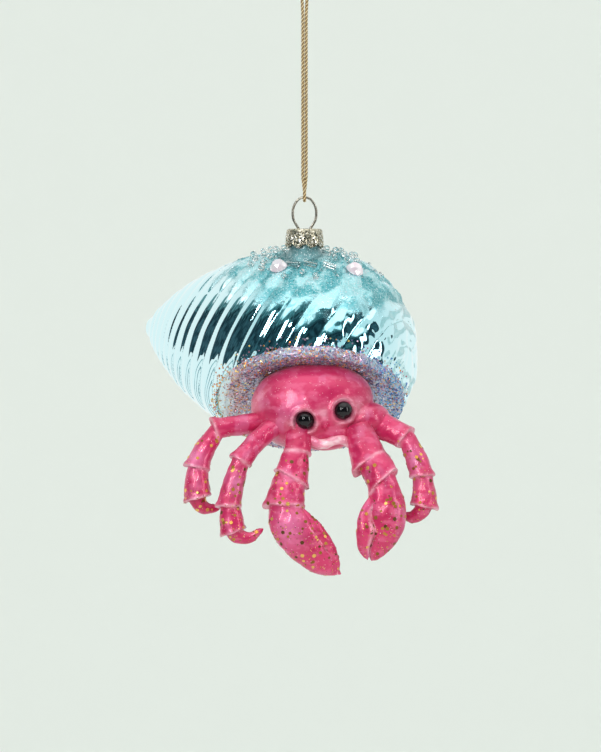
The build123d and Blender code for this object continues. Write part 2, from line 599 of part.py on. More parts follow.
def make_knot():
    """The knot that closes the loop, with its two cut tails."""
    apart = (CORD_DIAMETER + STRAND_GAP) / 2
    base = (Align.CENTER, Align.CENTER, Align.MIN)
    barrel = Cylinder(KNOT_DIAMETER / 2, KNOT_HEIGHT, align=base)
    barrel = fillet(barrel.edges().filter_by(GeomType.CIRCLE), KNOT_HEIGHT / 4)
    for side in (-1, 1):
        barrel += Pos(side * apart, 0, KNOT_HEIGHT / 2) * Cylinder(
            CORD_DIAMETER / 2, KNOT_HEIGHT / 2 + TAIL_LENGTH, align=base
        )
    return Pos(0, 0, KNOT_RISE) * barrel


def build():
    """Every node of the ornament by name."""
    filling = body_outside()
    nodes = {
        "cord_strands": make_strands(),
        "cord_bight": make_bight(),
        "cord_knot": make_knot(),
        "hanger_wire": make_wire(),
        "neck_cap": make_cap(),
        "shell_glass": make_shell(),
        "lip_glitter": make_lip_glitter(),
        "crab_body": make_body(),
        "left_eye": make_eye(LEFT_EYE),
        "right_eye": make_eye(RIGHT_EYE),
        "rhinestones": make_gems(),
        "bugle_beads": make_bugles(),
        "seed_beads": make_beads(),
    }
    for name, (segments, flatness) in LIMBS.items():
        nodes[name] = make_limb(segments, flatness, filling)
    return nodes


os.makedirs("parts", exist_ok=True)
for name, made in build().items():
    solids = made if isinstance(made, list) else [made]
    whole = Compound(children=[solid for piece in solids for solid in piece.solids()])
    export_step(whole, f"parts/{name}.step")
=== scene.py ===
"""Looks for a hanging blown-glass hermit crab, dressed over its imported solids.

Sizes are in millimetres in the classes and become metres where a mesh is made. +X is the viewer's
right, -Y is the side that the crab faces and +Z is up. The origin is the cord's hook point.
"""

import logging
import math
from dataclasses import dataclass
from enum import Enum
from typing import Callable, ClassVar, Dict, List, Optional, Sequence, Tuple, Union

import bmesh
import bpy
import numpy as np
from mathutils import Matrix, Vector, noise


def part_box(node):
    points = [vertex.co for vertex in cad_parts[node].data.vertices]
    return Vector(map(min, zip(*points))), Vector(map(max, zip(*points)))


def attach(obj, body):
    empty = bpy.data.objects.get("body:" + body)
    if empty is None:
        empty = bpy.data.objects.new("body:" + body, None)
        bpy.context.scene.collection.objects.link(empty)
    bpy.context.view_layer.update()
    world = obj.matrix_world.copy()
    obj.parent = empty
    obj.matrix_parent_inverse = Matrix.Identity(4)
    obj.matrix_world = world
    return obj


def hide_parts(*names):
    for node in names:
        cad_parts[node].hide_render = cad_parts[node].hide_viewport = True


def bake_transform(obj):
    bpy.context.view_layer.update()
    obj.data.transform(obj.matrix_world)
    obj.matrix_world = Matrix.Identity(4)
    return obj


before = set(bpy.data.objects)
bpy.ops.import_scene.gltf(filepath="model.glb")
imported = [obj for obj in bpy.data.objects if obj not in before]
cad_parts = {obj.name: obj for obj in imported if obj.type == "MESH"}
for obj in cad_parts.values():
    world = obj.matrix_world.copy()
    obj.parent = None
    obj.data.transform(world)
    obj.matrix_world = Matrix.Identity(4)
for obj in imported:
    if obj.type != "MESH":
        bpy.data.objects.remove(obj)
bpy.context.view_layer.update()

LOG = logging.getLogger("ornament")
MM = 0.001
PHOTO_HEIGHT = 752

Colour = Tuple[float, float, float, float]
Point = Tuple[float, float, float]
Span = Tuple[float, float]
Station = Tuple[float, float, float, float]
Stops = Tuple[Tuple[float, Colour], ...]
Pair = Tuple[Colour, Colour]
Measure = Union[float, np.ndarray]
Material = bpy.types.Material
Node = bpy.types.Node
Socket = bpy.types.NodeSocket
Sockets = bpy.types.bpy_prop_collection
Thing = bpy.types.Object
Tree = bpy.types.NodeTree


class Body(Enum):
    """The bodies that pieces ride on."""

    CORD = "cord"
    BIGHT = "bight"
    HANGER = "hanger"
    GLASS = "glass"


def rgb(red: float, green: float, blue: float) -> Colour:
    """Turns a display colour into the linear one that a socket takes.

    Args:
        red: Red, from 0 to 255.
        green: Green, the same way.
        blue: Blue, the same way.

    Returns:
        The linear colour, opaque.
    """
    def linear(value: float) -> float:
        """One channel of it."""
        share = value / 255.0
        return share / 12.92 if share <= 0.04045 else ((share + 0.055) / 1.055) ** 2.4
    return (linear(red), linear(green), linear(blue), 1.0)


# Mesh helpers


def add_object(name: str, mesh: bpy.types.Mesh) -> Thing:
    """Links a new object for a mesh into the scene.

    Args:
        name: The object's name.
        mesh: Its mesh.

    Returns:
        The new object.
    """
    thing = bpy.data.objects.new(name, mesh)
    bpy.context.scene.collection.objects.link(thing)
    return thing


def solid_object(
    name: str, points: np.ndarray, faces: Sequence[Sequence[int]], smooth: bool = True
) -> Thing:
    """Makes an object from points in millimetres.

    Args:
        name: The piece's name.
        points: One row for each vertex.
        faces: Vertex numbers of each face, turned outwards.
        smooth: Whether its faces are shaded smooth.

    Returns:
        The new object, at the origin.
    """
    mesh = bpy.data.meshes.new(name)
    mesh.from_pydata((np.asarray(points) * MM).tolist(), [], [list(face) for face in faces])
    mesh.validate()
    mesh.polygons.foreach_set("use_smooth", [smooth] * len(mesh.polygons))
    return add_object(name, mesh)


def made_plain(thing: Thing) -> Thing:
    """Turns an object with modifiers into one with a plain mesh.

    Args:
        thing: The object with its modifiers.

    Returns:
        The same object.
    """
    graph = bpy.context.evaluated_depsgraph_get()
    graph.update()
    mesh = bpy.data.meshes.new_from_object(
        thing.evaluated_get(graph), preserve_all_data_layers=True, depsgraph=graph
    )
    old = thing.data
    thing.modifiers.clear()
    thing.data = mesh
    bpy.data.meshes.remove(old)
    return thing


def removed(thing: Thing) -> None:
    """Takes a helper object and its mesh out of the scene.

    Args:
        thing: The helper object.
    """
    mesh = thing.data
    bpy.data.objects.remove(thing)
    bpy.data.meshes.remove(mesh)


def dressed(thing: Thing, material: Material) -> Thing:
    """Gives an object one material in place of any other.

    Args:
        thing: The object.
        material: What it is made of.

    Returns:
        The same object.
    """
    thing.data.materials.clear()
    thing.data.materials.append(material)
    return thing


def turn_outwards(thing: Thing) -> None:
    """Merges doubled vertices and points every face outwards.

    Args:
        thing: The piece, whose mesh is changed.
    """
    work = bmesh.new()
    work.from_mesh(thing.data)
    bmesh.ops.remove_doubles(work, verts=work.verts, dist=1e-7)
    bmesh.ops.recalc_face_normals(work, faces=work.faces)
    work.to_mesh(thing.data)
    work.free()


def vertex_places(thing: Thing) -> np.ndarray:
    """Reads an object's vertices.

    Args:
        thing: The object.

    Returns:
        Their places in millimetres, one row each.
    """
    flat = np.empty(len(thing.data.vertices) * 3, np.float32)
    thing.data.vertices.foreach_get("co", flat)
    return flat.reshape(-1, 3).astype(float) / MM


def set_places(thing: Thing, places: np.ndarray) -> None:
    """Moves an object's vertices to places in millimetres, one row each."""
    thing.data.vertices.foreach_set("co", (places * MM).astype(np.float32).ravel())
    thing.data.update()


def put_mask(thing: Thing, name: str, values: np.ndarray) -> None:
    """Stores a number for each vertex under a name."""
    layer = thing.data.attributes.get(name) or thing.data.attributes.new(name, "FLOAT", "POINT")
    layer.data.foreach_set("value", np.asarray(values, np.float32))


def mask_values(thing: Thing, name: str) -> np.ndarray:
    """Reads the numbers stored under a name.

    Args:
        thing: The object.
        name: The name.

    Returns:
        One number for each vertex.
    """
    values = np.empty(len(thing.data.vertices), np.float32)
    thing.data.attributes[name].data.foreach_get("value", values)
    return values


def joined(name: str, things: Sequence[Thing], mask: str = "") -> Thing:
    """Joins objects into one new object.

    Args:
        name: The new object's name.
        things: The objects, which are removed.
        mask: Name of the numbers to keep for each vertex, if any.

    Returns:
        The new object.
    """
    values = [mask_values(thing, mask) for thing in things] if mask else []
    work = bmesh.new()
    for thing in things:
        work.from_mesh(thing.data)
    mesh = bpy.data.meshes.new(name)
    work.to_mesh(mesh)
    work.free()
    for thing in things:
        removed(thing)
    whole = add_object(name, mesh)
    if mask:
        put_mask(whole, mask, np.concatenate(values))
    return whole


def full_turn(steps: int) -> np.ndarray:
    """Returns even steps round a circle, in radians from 0."""
    return np.linspace(0.0, math.tau, steps, endpoint=False)


def spun(turns: np.ndarray, radius: Measure, height: Measure) -> np.ndarray:
    """Returns a ring of points about the upright axis, each with its radius and height."""
    heights = np.broadcast_to(height, turns.shape)
    return np.stack([radius * np.cos(turns), radius * np.sin(turns), heights], axis=1)


def ring_faces(rings: int, sides: int, closed: bool = True) -> List[Tuple[int, ...]]:
    """Quads between rings of points, with a fan to a last pair of pole points where closed.

    Args:
        rings: Number of rings, each of the same number of points.
        sides: Points in each ring.
        closed: Whether two pole points follow the rings, first one and then the other end.

    Returns:
        The faces' vertex numbers.
    """
    faces: List[Tuple[int, ...]] = []
    for ring in range(rings - 1):
        low = ring * sides
        for side in range(sides):
            after = (side + 1) % sides
            faces.append((low + side, low + after, low + sides + after, low + sides + side))
    if closed:
        first = rings * sides
        top = (rings - 1) * sides
        for side in range(sides):
            after = (side + 1) % sides
            faces.append((first, after, side))
            faces.append((first + 1, top + side, top + after))
    return faces


def fused(thing: Thing, voxel: float, rounds: int) -> Thing:
    """Melts overlapping forms into one skin and softens it, as hot glass does.

    Args:
        thing: An object of closed, overlapping forms.
        voxel: Grain of the melt in millimetres.
        rounds: Rounds of softening, each by half.

    Returns:
        The same object with its new mesh.
    """
    melt = thing.modifiers.new("melt", "REMESH")
    melt.mode = "VOXEL"
    melt.voxel_size = voxel * MM
    melt.use_smooth_shade = True
    soften = thing.modifiers.new("soften", "SMOOTH")
    soften.factor = 0.5
    soften.iterations = rounds
    return made_plain(thing)


def push_skin(thing: Thing, pushes: np.ndarray) -> None:
    """Moves each vertex along its normal.

    Args:
        thing: The piece.
        pushes: How far each vertex goes, in millimetres.
    """
    mesh = thing.data
    mesh.update()
    normals = np.empty(len(mesh.vertices) * 3, np.float32)
    mesh.vertex_normals.foreach_get("vector", normals)
    set_places(thing, vertex_places(thing) + normals.reshape(-1, 3) * np.asarray(pushes)[:, None])


def waves_at(places: np.ndarray, grain: float, seed: float = 0.0) -> np.ndarray:
    """Returns a smooth random number for each place.

    Args:
        places: One row for each place, in millimetres.
        grain: Length of a wave in millimetres.
        seed: Moves the waves about.

    Returns:
        Numbers of about -1 to 1.
    """
    offset = Vector((seed, 2.0 * seed, -seed))
    return np.array([noise.noise(Vector(place) / grain + offset) for place in places])


def hand_wobble(thing: Thing, height: float, grain: float, seed: float) -> None:
    """Pushes a skin in and out a little, as hand-worked glass is.

    Args:
        thing: The piece.
        height: Greatest push in millimetres.
        grain: Length of a wave in millimetres.
        seed: Moves the waves about.
    """
    push_skin(thing, height * waves_at(vertex_places(thing), grain, seed))


# Shader helpers


class Board:
    """A node tree with short ways to add, set and join its nodes."""

    def __init__(self, tree: Tree) -> None:
        """Holds the tree that nodes are added to."""
        self.tree = tree

    def put(self, socket: Socket, value: object) -> None:
        """Joins an output to an input socket, or sets the socket to a plain value.

        Args:
            socket: The input socket.
            value: An output socket or a plain value.
        """
        if isinstance(value, Socket):
            self.tree.links.new(value, socket)
        else:
            socket.default_value = value

    def add(
        self, kind: str, inputs: Optional[Dict[Union[str, int], object]] = None, **settings: object
    ) -> Node:
        """Adds a node.

        Args:
            kind: Blender's name for the node's type.
            inputs: Values or output sockets for its inputs, by name or number.
            settings: The node's own settings.

        Returns:
            The new node.
        """
        node = self.tree.nodes.new(kind)
        for name, value in settings.items():
            setattr(node, name, value)
        for name, value in (inputs or {}).items():
            self.put(node.inputs[name], value)
        return node

    def math(self, operation: str, first: object, second: object = 0.0, clamp: bool = False) -> Socket:
        """Adds a sum of two numbers or sockets and returns its result."""
        inputs = {0: first, 1: second}
        return self.add("ShaderNodeMath", inputs, operation=operation, use_clamp=clamp).outputs[0]

    def times(self, first: object, second: object) -> Socket:
        """Multiplies two numbers or sockets and returns the result."""
        return self.math("MULTIPLY", first, second)

    def scaled(self, value: object, factor: float, start: float) -> Socket:
        """Returns a start with a value's share added to it."""
        return self.math("ADD", self.times(value, factor), start)

    def ramp(self, value: Socket, low: float, high: float, start: float = 0.0, end: float = 1.0) -> Socket:
        """Eases a value from one range into another and returns it."""
        inputs = {"Value": value, "From Min": low, "From Max": high, "To Min": start, "To Max": end}
        return self.add("ShaderNodeMapRange", inputs, interpolation_type="SMOOTHSTEP").outputs["Result"]

    def mix(self, share: object, first: object, second: object) -> Socket:
        """Mixes two colours and returns the result."""
        return self.add("ShaderNodeMix", {0: share, 6: first, 7: second}, data_type="RGBA").outputs[2]

    def colours(self, value: Socket, stops: Stops) -> Socket:
        """Reads a colour off a band of stops without blending them.

        Args:
            value: Where on the band, from 0 to 1.
            stops: Start and colour of each stop.

        Returns:
            The colour.
        """
        node = self.add("ShaderNodeValToRGB", {"Fac": value})
        band = node.color_ramp
        band.interpolation = "CONSTANT"
        while len(band.elements) < len(stops):
            band.elements.new(1.0)
        for element, (place, colour) in zip(band.elements, stops):
            element.position = place
            element.color = colour
        return node.outputs["Color"]

    def bump(self, height: Socket, strength: float, distance: float) -> Socket:
        """Turns a height into a normal, with a distance in millimetres."""
        inputs = {"Height": height, "Strength": strength, "Distance": distance * MM}
        return self.add("ShaderNodeBump", inputs).outputs["Normal"]

    def place(self) -> Socket:
        """Returns the piece's own coordinates in metres."""
        return self.add("ShaderNodeTexCoord").outputs["Object"]

    def coordinate(self, axis: str) -> Socket:
        """Returns one of the piece's own coordinates in metres."""
        return self.add("ShaderNodeSeparateXYZ", {0: self.place()}).outputs[axis]

    def far(self, point: Point) -> Socket:
        """Returns the distance in metres from a point given in millimetres."""
        inputs = {0: self.place(), 1: [number * MM for number in point]}
        return self.add("ShaderNodeVectorMath", inputs, operation="DISTANCE").outputs["Value"]

    def mask(self, name: str) -> Socket:
        """Returns the number that the piece stores under a name."""
        return self.add("ShaderNodeAttribute", attribute_name=name).outputs["Fac"]


class Effects:
    """Surface effects that more than one finish uses, each a group of nodes that is made once."""

    _made: ClassVar[Dict[str, Tree]] = {}

    @classmethod
    def _group(
        cls,
        name: str,
        inputs: Dict[str, float],
        outputs: Sequence[str],
        fill: Callable[[Board, Sockets], Dict[str, Socket]],
    ) -> Tree:
        """Returns a group of nodes from numbers to numbers, made at the first call.

        Args:
            name: The group's name.
            inputs: Its inputs and their first values.
            outputs: Its outputs.
            fill: Adds its nodes to a board, from the inputs, and returns what each output gives.

        Returns:
            The group.
        """
        if name not in cls._made:
            tree = bpy.data.node_groups.new(name, "ShaderNodeTree")
            for label, value in inputs.items():
                socket = tree.interface.new_socket(
                    name=label, in_out="INPUT", socket_type="NodeSocketFloat"
                )
                socket.default_value = value
            for label in outputs:
                tree.interface.new_socket(name=label, in_out="OUTPUT", socket_type="NodeSocketFloat")
            board = Board(tree)
            board.add("NodeGroupOutput", fill(board, board.add("NodeGroupInput").outputs))
            cls._made[name] = tree
        return cls._made[name]

    @classmethod
    def specks(cls) -> Tree:
        """Glitter specks in a lacquer: a mask of the specks and a number for each of them.

        Returns:
            The group.
        """

        def fill(board: Board, given: Sockets) -> Dict[str, Socket]:
            """Cells of which some hold a speck."""
            scale = board.math("DIVIDE", 1.0 / MM, given["Size"])
            cells = board.add("ShaderNodeTexVoronoi", {"Vector": board.place(), "Scale": scale}).outputs
            split = board.add("ShaderNodeSeparateColor", {"Color": cells["Color"]}).outputs
            chosen = board.math("LESS_THAN", split["Red"], given["Share"])
            near = board.math("LESS_THAN", cells["Distance"], given["Radius"])
            return {"Mask": board.times(chosen, near), "Number": split["Green"]}

        inputs = {"Size": 0.6, "Share": 0.3, "Radius": 0.32}
        return cls._group("specks", inputs, ("Mask", "Number"), fill)

    @classmethod
    def mottle(cls) -> Tree:
        """Soft clouds of a given size, as a number from 0 to 1.

        Returns:
            The group.
        """

        def fill(board: Board, given: Sockets) -> Dict[str, Socket]:
            """Noise in stretched coordinates."""
            stretch = board.add("ShaderNodeCombineXYZ", {"X": 1.0, "Y": 1.0, "Z": given["Streak"]})
            placed = board.add(
                "ShaderNodeVectorMath", {0: board.place(), 1: stretch.outputs[0]}, operation="MULTIPLY"
            )
            scale = board.math("DIVIDE", 1.0 / MM, given["Size"])
            clouds = board.add(
                "ShaderNodeTexNoise",
                {"Vector": placed.outputs[0], "Scale": scale, "Detail": given["Detail"]},
            )
            return {"Value": board.ramp(clouds.outputs[0], 0.3, 0.7)}

        inputs = {"Size": 6.0, "Detail": 3.0, "Streak": 1.0}
        return cls._group("mottle", inputs, ("Value",), fill)

    @classmethod
    def ends(cls) -> Tree:
        """How near a place is to the mouth's left and right end, each as a number from 0 to 1.

        Returns:
            The group.
        """

        def fill(board: Board, given: Sockets) -> Dict[str, Socket]:
            """How far past each end a place lies."""
            across = board.math("DIVIDE", board.coordinate("X"), MM)
            left = board.math("SUBTRACT", given["Left"], across)
            right = board.math("SUBTRACT", across, given["Right"])
            ends = {"Left": left, "Right": right}
            soft = given["Soft"]
            return {side: board.math("DIVIDE", past, soft, clamp=True) for side, past in ends.items()}

        inputs = {"Left": -20.0, "Right": 19.0, "Soft": 9.0}
        return cls._group("ends", inputs, ("Left", "Right"), fill)

    @classmethod
    def put_ends(cls, board: Board) -> Node:
        """Places the two ends in a material and returns the node."""
        return board.add("ShaderNodeGroup", node_tree=cls.ends())

    @classmethod
    def put_specks(cls, board: Board, size: float, share: float, radius: float) -> Node:
        """Places the specks in a material and returns the node."""
        inputs = {"Size": size, "Share": share, "Radius": radius}
        return board.add("ShaderNodeGroup", inputs, node_tree=cls.specks())

    @classmethod
    def put_mottle(cls, board: Board, size: float, detail: float, streak: float = 1.0) -> Socket:
        """Places the clouds in a material and returns their value."""
        inputs = {"Size": size, "Detail": detail, "Streak": streak}
        return board.add("ShaderNodeGroup", inputs, node_tree=cls.mottle()).outputs["Value"]


class Finish:
    """A finish: it makes its material once and hands it out."""

    name: str = "finish"

    def material(self) -> Material:
        """Makes the finish's material at the first call.

        Returns:
            The material.
        """
        found = bpy.data.materials.get(self.name)
        if found is None:
            found = bpy.data.materials.new(self.name)
            found.use_nodes = True
            found.node_tree.nodes.clear()
            board = Board(found.node_tree)
            shader = board.add("ShaderNodeBsdfPrincipled")
            output = board.add("ShaderNodeOutputMaterial")
            found.node_tree.links.new(shader.outputs[0], output.inputs[0])
            self.dress(board, shader)
        return found

    def dress(self, board: Board, shader: Node) -> None:
        """Fills in the shader's inputs.

        Args:
            board: The material's nodes.
            shader: The shader to fill in.
        """
        raise NotImplementedError

    @staticmethod
    def set(board: Board, shader: Node, **values: object) -> None:
        """Sets or joins the shader's inputs, with underscores for the spaces of their names."""
        for name, value in values.items():
            board.put(shader.inputs[name.replace("_", " ")], value)


@dataclass(frozen=True)
class SilveredShell(Finish):
    """Mirror-silvered glass under turquoise lacquer, frosted with sugar glitter round the neck."""

    name: str = "silvered_shell"
    pale: Colour = rgb(220, 250, 255)
    # The next colour is a painted reflection: a deeper tint round a spot on the shell's front.
    front_reflection_tint: Colour = rgb(168, 228, 238)
    turquoise: Colour = rgb(158, 214, 218)
    deep: Colour = rgb(0, 150, 160)
    # Deep teal, painted round the neck as shade under the cap.
    teal: Colour = rgb(0, 96, 102)
    frost: Colour = rgb(168, 216, 219)
    sparkle: Colour = rgb(240, 250, 250)
    neck: Point = (0.0, 0.0, -106.0)
    crown: Point = (6.0, 6.0, -104.0)
    frost_reach: float = 38.0
    front_spot: Point = (4.0, -20.0, -128.0)

    def dress(self, board: Board, shader: Node) -> None:
        """Fills in the shader: lacquer by place, with a painted reflection as a deeper tint on the front, and
        a rougher, whiter frost near the neck, with painted shade round the neck under the cap.
        """
        clouds = Effects.put_mottle(board, size=8.0, detail=3.0)
        fine = Effects.put_mottle(board, size=1.1, detail=2.0)
        reach = board.math("ADD", board.far(self.crown), board.times(clouds, 7.0 * MM))
        frost = board.ramp(reach, (self.frost_reach + 5.0) * MM, (self.frost_reach - 4.0) * MM)
        # Painted reflection: the lacquer turns deeper round a spot on the shell's front.
        depth = board.ramp(board.far(self.front_spot), 40.0 * MM, 12.0 * MM)
        lacquer = board.mix(depth, self.pale, self.front_reflection_tint)
        sugar = board.mix(board.ramp(clouds, 0.3, 0.7), self.deep, self.turquoise)
        sugar = board.mix(board.times(fine, 0.35), sugar, self.frost)
        # Painted shade: deep teal round the neck, just under the cap.
        round_neck = board.math("ADD", board.far(self.neck), board.times(clouds, 3.0 * MM))
        cap_shade = board.ramp(round_neck, 14.0 * MM, 8.0 * MM)
        sugar = board.mix(board.times(cap_shade, 0.9), sugar, self.teal)
        specks = Effects.put_specks(board, size=0.55, share=0.4, radius=0.42).outputs["Mask"]
        sugar = board.mix(board.times(specks, 0.5), sugar, self.sparkle)
        grain = board.times(board.math("ADD", fine, specks), frost)
        self.set(
            board, shader,
            Base_Color=board.mix(board.times(frost, 0.85), lacquer, sugar),
            Metallic=board.math("SUBTRACT", 1.0, board.times(frost, 0.45)),
            Roughness=board.scaled(frost, 0.45, 0.045),
            Normal=board.bump(grain, strength=0.5, distance=0.25),
            Coat_Weight=0.4,
            Coat_Roughness=0.03,
        )


@dataclass(frozen=True)
class PearlPink(Finish):
    """Pearly pink lacquer on blown glass, with clouds, streaks and fine glitter in it."""

    name: str = "pearl_pink"
    deep: Colour = rgb(188, 22, 80)
    rose: Colour = rgb(214, 50, 106)
    pale: Colour = rgb(232, 118, 158)
    # The next two are tints of painted light: pearl for the sheen and highlights, rim for the rim light and
    # highlights.
    pearl: Colour = rgb(232, 158, 206)
    rim: Colour = rgb(250, 200, 214)
    sparkle: Colour = rgb(255, 226, 236)
    bloom: Colour = rgb(255, 206, 222)
    share: float = 0.34

    def dress(self, board: Board, shader: Node) -> None:
        """Fills in the shader: clouds of deep and pale pink, painted sheen, rim light and highlights, glitter
        specks and a gloss coat.
        """
        broad = Effects.put_mottle(board, size=13.0, detail=2.0)
        strokes = Effects.put_mottle(board, size=4.6, detail=5.0, streak=1.8)
        colour = board.mix(board.times(broad, 0.8), self.deep, self.rose)
        colour = board.mix(board.ramp(strokes, 0.45, 1.0, 0.0, self.share), colour, self.pale)
        # Painted sheen: pearly violet patches at random places.
        shine = Effects.put_mottle(board, size=6.0, detail=2.0, streak=0.5)
        colour = board.mix(board.ramp(shine, 0.7, 1.0, 0.0, 0.18), colour, self.pearl)
        # Painted light: pale rim light along the cuffs' and fingers' edges, and pale highlights on the body's
        # patches and eye rims.
        painted_pale_light = board.times(board.mask("edge"), board.scaled(strokes, 0.45, 0.2))
        colour = board.mix(painted_pale_light, colour, self.rim)
        # Painted highlights: pearly spots at set places on the limbs.
        colour = board.mix(board.times(board.mask("painted_highlight"), 0.36), colour, self.pearl)
        dust = Effects.put_specks(board, size=0.45, share=0.07, radius=0.26).outputs["Mask"]
        colour = board.mix(board.times(dust, 0.7), colour, self.sparkle)
        ripple = Effects.put_mottle(board, size=1.5, detail=3.0)
        self.set(
            board, shader,
            Base_Color=colour,
            Metallic=0.22,
            Roughness=board.scaled(strokes, 0.14, 0.32),
            Normal=board.bump(board.math("ADD", ripple, dust), strength=0.16, distance=0.2),
            Coat_Weight=0.4,
            Coat_Roughness=0.12,
            Sheen_Weight=0.45,
            Sheen_Roughness=0.3,
            Sheen_Tint=self.bloom,
        )


@dataclass(frozen=True)
class PaleLip(PearlPink):
    """The same lacquer, thin and pale over the jaw's frilled edge."""

    name: str = "pale_lip"
    deep: Colour = rgb(226, 120, 152)
    rose: Colour = rgb(240, 176, 192)
    pale: Colour = rgb(250, 222, 226)
    share: float = 0.8


@dataclass(frozen=True)
class MouthGlitter(Finish):
    """Glue bed of the glitter in the shell's mouth, from mauve at the lip to pearl inside."""

    name: str = "mouth_glitter"
    pearl: Point = (27.5, -14.0, -159.0)
    thin_end: float = -23.0
    thin_width: float = 5.0
    glass: Colour = rgb(216, 250, 254)
    bed: Pair = (rgb(172, 148, 172), rgb(162, 172, 188))
    blush: Colour = rgb(240, 192, 184)
    sky: Colour = rgb(164, 204, 226)
    inside: Colour = rgb(232, 226, 230)
    stops: Stops = (
        (0.0, rgb(196, 170, 190)), (0.18, rgb(150, 140, 190)), (0.34, rgb(120, 160, 190)),
        (0.5, rgb(206, 160, 176)), (0.66, rgb(168, 196, 204)), (0.82, rgb(205, 150, 110)),
        (0.92, rgb(226, 214, 220)),
    )

    def dress(self, board: Board, shader: Node) -> None:
        """Fills in the shader: coarse cells of many tints, dull between bright flecks."""
        cells = Effects.put_specks(board, size=0.62, share=0.95, radius=0.5).outputs
        tint = board.colours(cells["Number"], self.stops)
        clouds = Effects.put_mottle(board, size=5.0, detail=2.0)
        ends = Effects.put_ends(board).outputs
        base = board.mix(clouds, *self.bed)
        base = board.mix(board.times(ends["Left"], 0.6), base, self.blush)
        base = board.mix(board.times(ends["Right"], 0.6), base, self.sky)
        drift = board.times(clouds, 3.0 * MM)
        bare = board.ramp(board.math("ADD", board.far(self.pearl), drift), 8.0 * MM, 4.0 * MM)
        glitter = board.mix(board.times(cells["Mask"], 0.7), base, tint)
        side = board.math("ADD", board.coordinate("X"), drift)
        thin = board.ramp(side, self.thin_end * MM, (self.thin_end - self.thin_width) * MM, 0.0, 0.85)
        glitter = board.mix(thin, glitter, self.glass)
        self.set(
            board, shader,
            Base_Color=board.mix(board.times(bare, 0.8), glitter, self.inside),
            Metallic=0.4,
            Roughness=0.34,
            Normal=board.bump(cells["Number"], strength=0.5, distance=0.3),
            Coat_Weight=0.3,
        )


@dataclass(frozen=True)
class TintedFlakes(Finish):
    """Cut foil flakes, each of its own tint."""

    name: str = "tinted_flakes"
    stops: Stops = ()
    metallic: float = 0.9
    roughness: float = 0.2

    def tint(self, board: Board, number: Socket) -> Socket:
        """Returns a flake's colour from its number."""
        return board.colours(number, self.stops)

    def dress(self, board: Board, shader: Node) -> None:
        """Fills in the shader from the number that each flake carries."""
        number = board.mask("tint")
        self.set(
            board, shader,
            Base_Color=self.tint(board, number),
            Metallic=self.metallic,
            Roughness=board.scaled(number, 0.12, self.roughness),
        )


@dataclass(frozen=True)
class LipFlakes(TintedFlakes):
    """Flakes of the mouth, copper and gold towards its left end and blue towards its right."""

    name: str = "lip_flakes"
    coppers: Pair = (rgb(206, 112, 70), rgb(248, 208, 140))
    blues: Pair = (rgb(72, 104, 192), rgb(132, 204, 228))

    def tint(self, board: Board, number: Socket) -> Socket:
        """Picks a flake's colour by its number and its place.

        Args:
            board: The material's nodes.
            number: The flake's own random number.

        Returns:
            The flake's colour.
        """
        ends = Effects.put_ends(board).outputs
        colour = board.colours(number, self.stops)
        copper = board.mix(number, *self.coppers)
        blue = board.mix(number, *self.blues)
        some = board.math("GREATER_THAN", board.math("FRACT", board.times(number, 7.3)), 0.35)
        colour = board.mix(board.times(ends["Left"], some), colour, copper)
        return board.mix(board.times(ends["Right"], some), colour, blue)


@dataclass(frozen=True)
class FrostGrains(TintedFlakes):
    """Sugar crystals of the shell's crown, in drifts of white and deep teal, with a deeper teal painted as
    shade round the neck under the cap.
    """

    name: str = "sugar_grains"
    deep: Colour = rgb(0, 148, 158)
    snow: Colour = rgb(240, 244, 250)
    # Deep teal painted as shade under the cap.
    cap_shade: Colour = rgb(0, 112, 116)
    neck: Point = (0.0, 0.0, -106.0)

    def tint(self, board: Board, number: Socket) -> Socket:
        """Picks a grain's colour by its number and the drift that it lies in, with painted shade round the
        neck.

        Args:
            board: The material's nodes.
            number: The grain's own random number.

        Returns:
            The grain's colour.
        """
        drift = Effects.put_mottle(board, size=8.0, detail=3.0)
        colour = board.colours(number, self.stops)
        colour = board.mix(board.ramp(drift, 0.5, 0.2, 0.0, 0.85), colour, self.deep)
        colour = board.mix(board.ramp(drift, 0.5, 0.75, 0.0, 0.9), colour, self.snow)
        # Painted shade: deep teal round the neck, just under the cap.
        cap_shade = board.ramp(board.far(self.neck), 15.0 * MM, 9.0 * MM, 0.0, 0.8)
        return board.mix(cap_shade, colour, self.cap_shade)


@dataclass(frozen=True)
class ClearCrystal(Finish):
    """Clear polished glass."""

    name: str = "clear_crystal"
    colour: Colour = rgb(250, 252, 252)
    grain: float = 0.8

    def dress(self, board: Board, shader: Node) -> None:
        """Fills in the shader: clear, with a little cloud in its polish."""
        self.set(
            board, shader,
            Base_Color=self.colour,
            Roughness=board.times(Effects.put_mottle(board, size=self.grain, detail=2.0), 0.08),
            Transmission_Weight=1.0,
            IOR=1.52,
        )


@dataclass(frozen=True)
class FoiledStone(Finish):
    """A cut stone with a foiled back, pinkish white."""

    name: str = "foiled_stone"
    tints: Pair = (rgb(246, 226, 236), rgb(250, 246, 250))

    def dress(self, board: Board, shader: Node) -> None:
        """Fills in the shader: pale pink and white clouds under a hard gloss."""
        clouds = Effects.put_mottle(board, size=2.2, detail=2.0)
        self.set(
            board, shader,
            Base_Color=board.mix(clouds, *self.tints),
            Metallic=0.35,
            Roughness=board.scaled(clouds, 0.08, 0.05),
            Coat_Weight=1.0,
            Coat_Roughness=0.02,
        )


@dataclass(frozen=True)
class BlackBead(Finish):
    """Polished black glass."""

    name: str = "black_bead"
    tints: Pair = (rgb(8, 7, 8), rgb(20, 16, 20))

    def dress(self, board: Board, shader: Node) -> None:
        """Fills in the shader: near black, with faint clouds in the polish."""
        clouds = Effects.put_mottle(board, size=1.6, detail=3.0)
        self.set(
            board, shader,
            Base_Color=board.mix(clouds, *self.tints),
            Roughness=board.scaled(clouds, 0.05, 0.05),
            Specular_IOR_Level=0.4,
        )


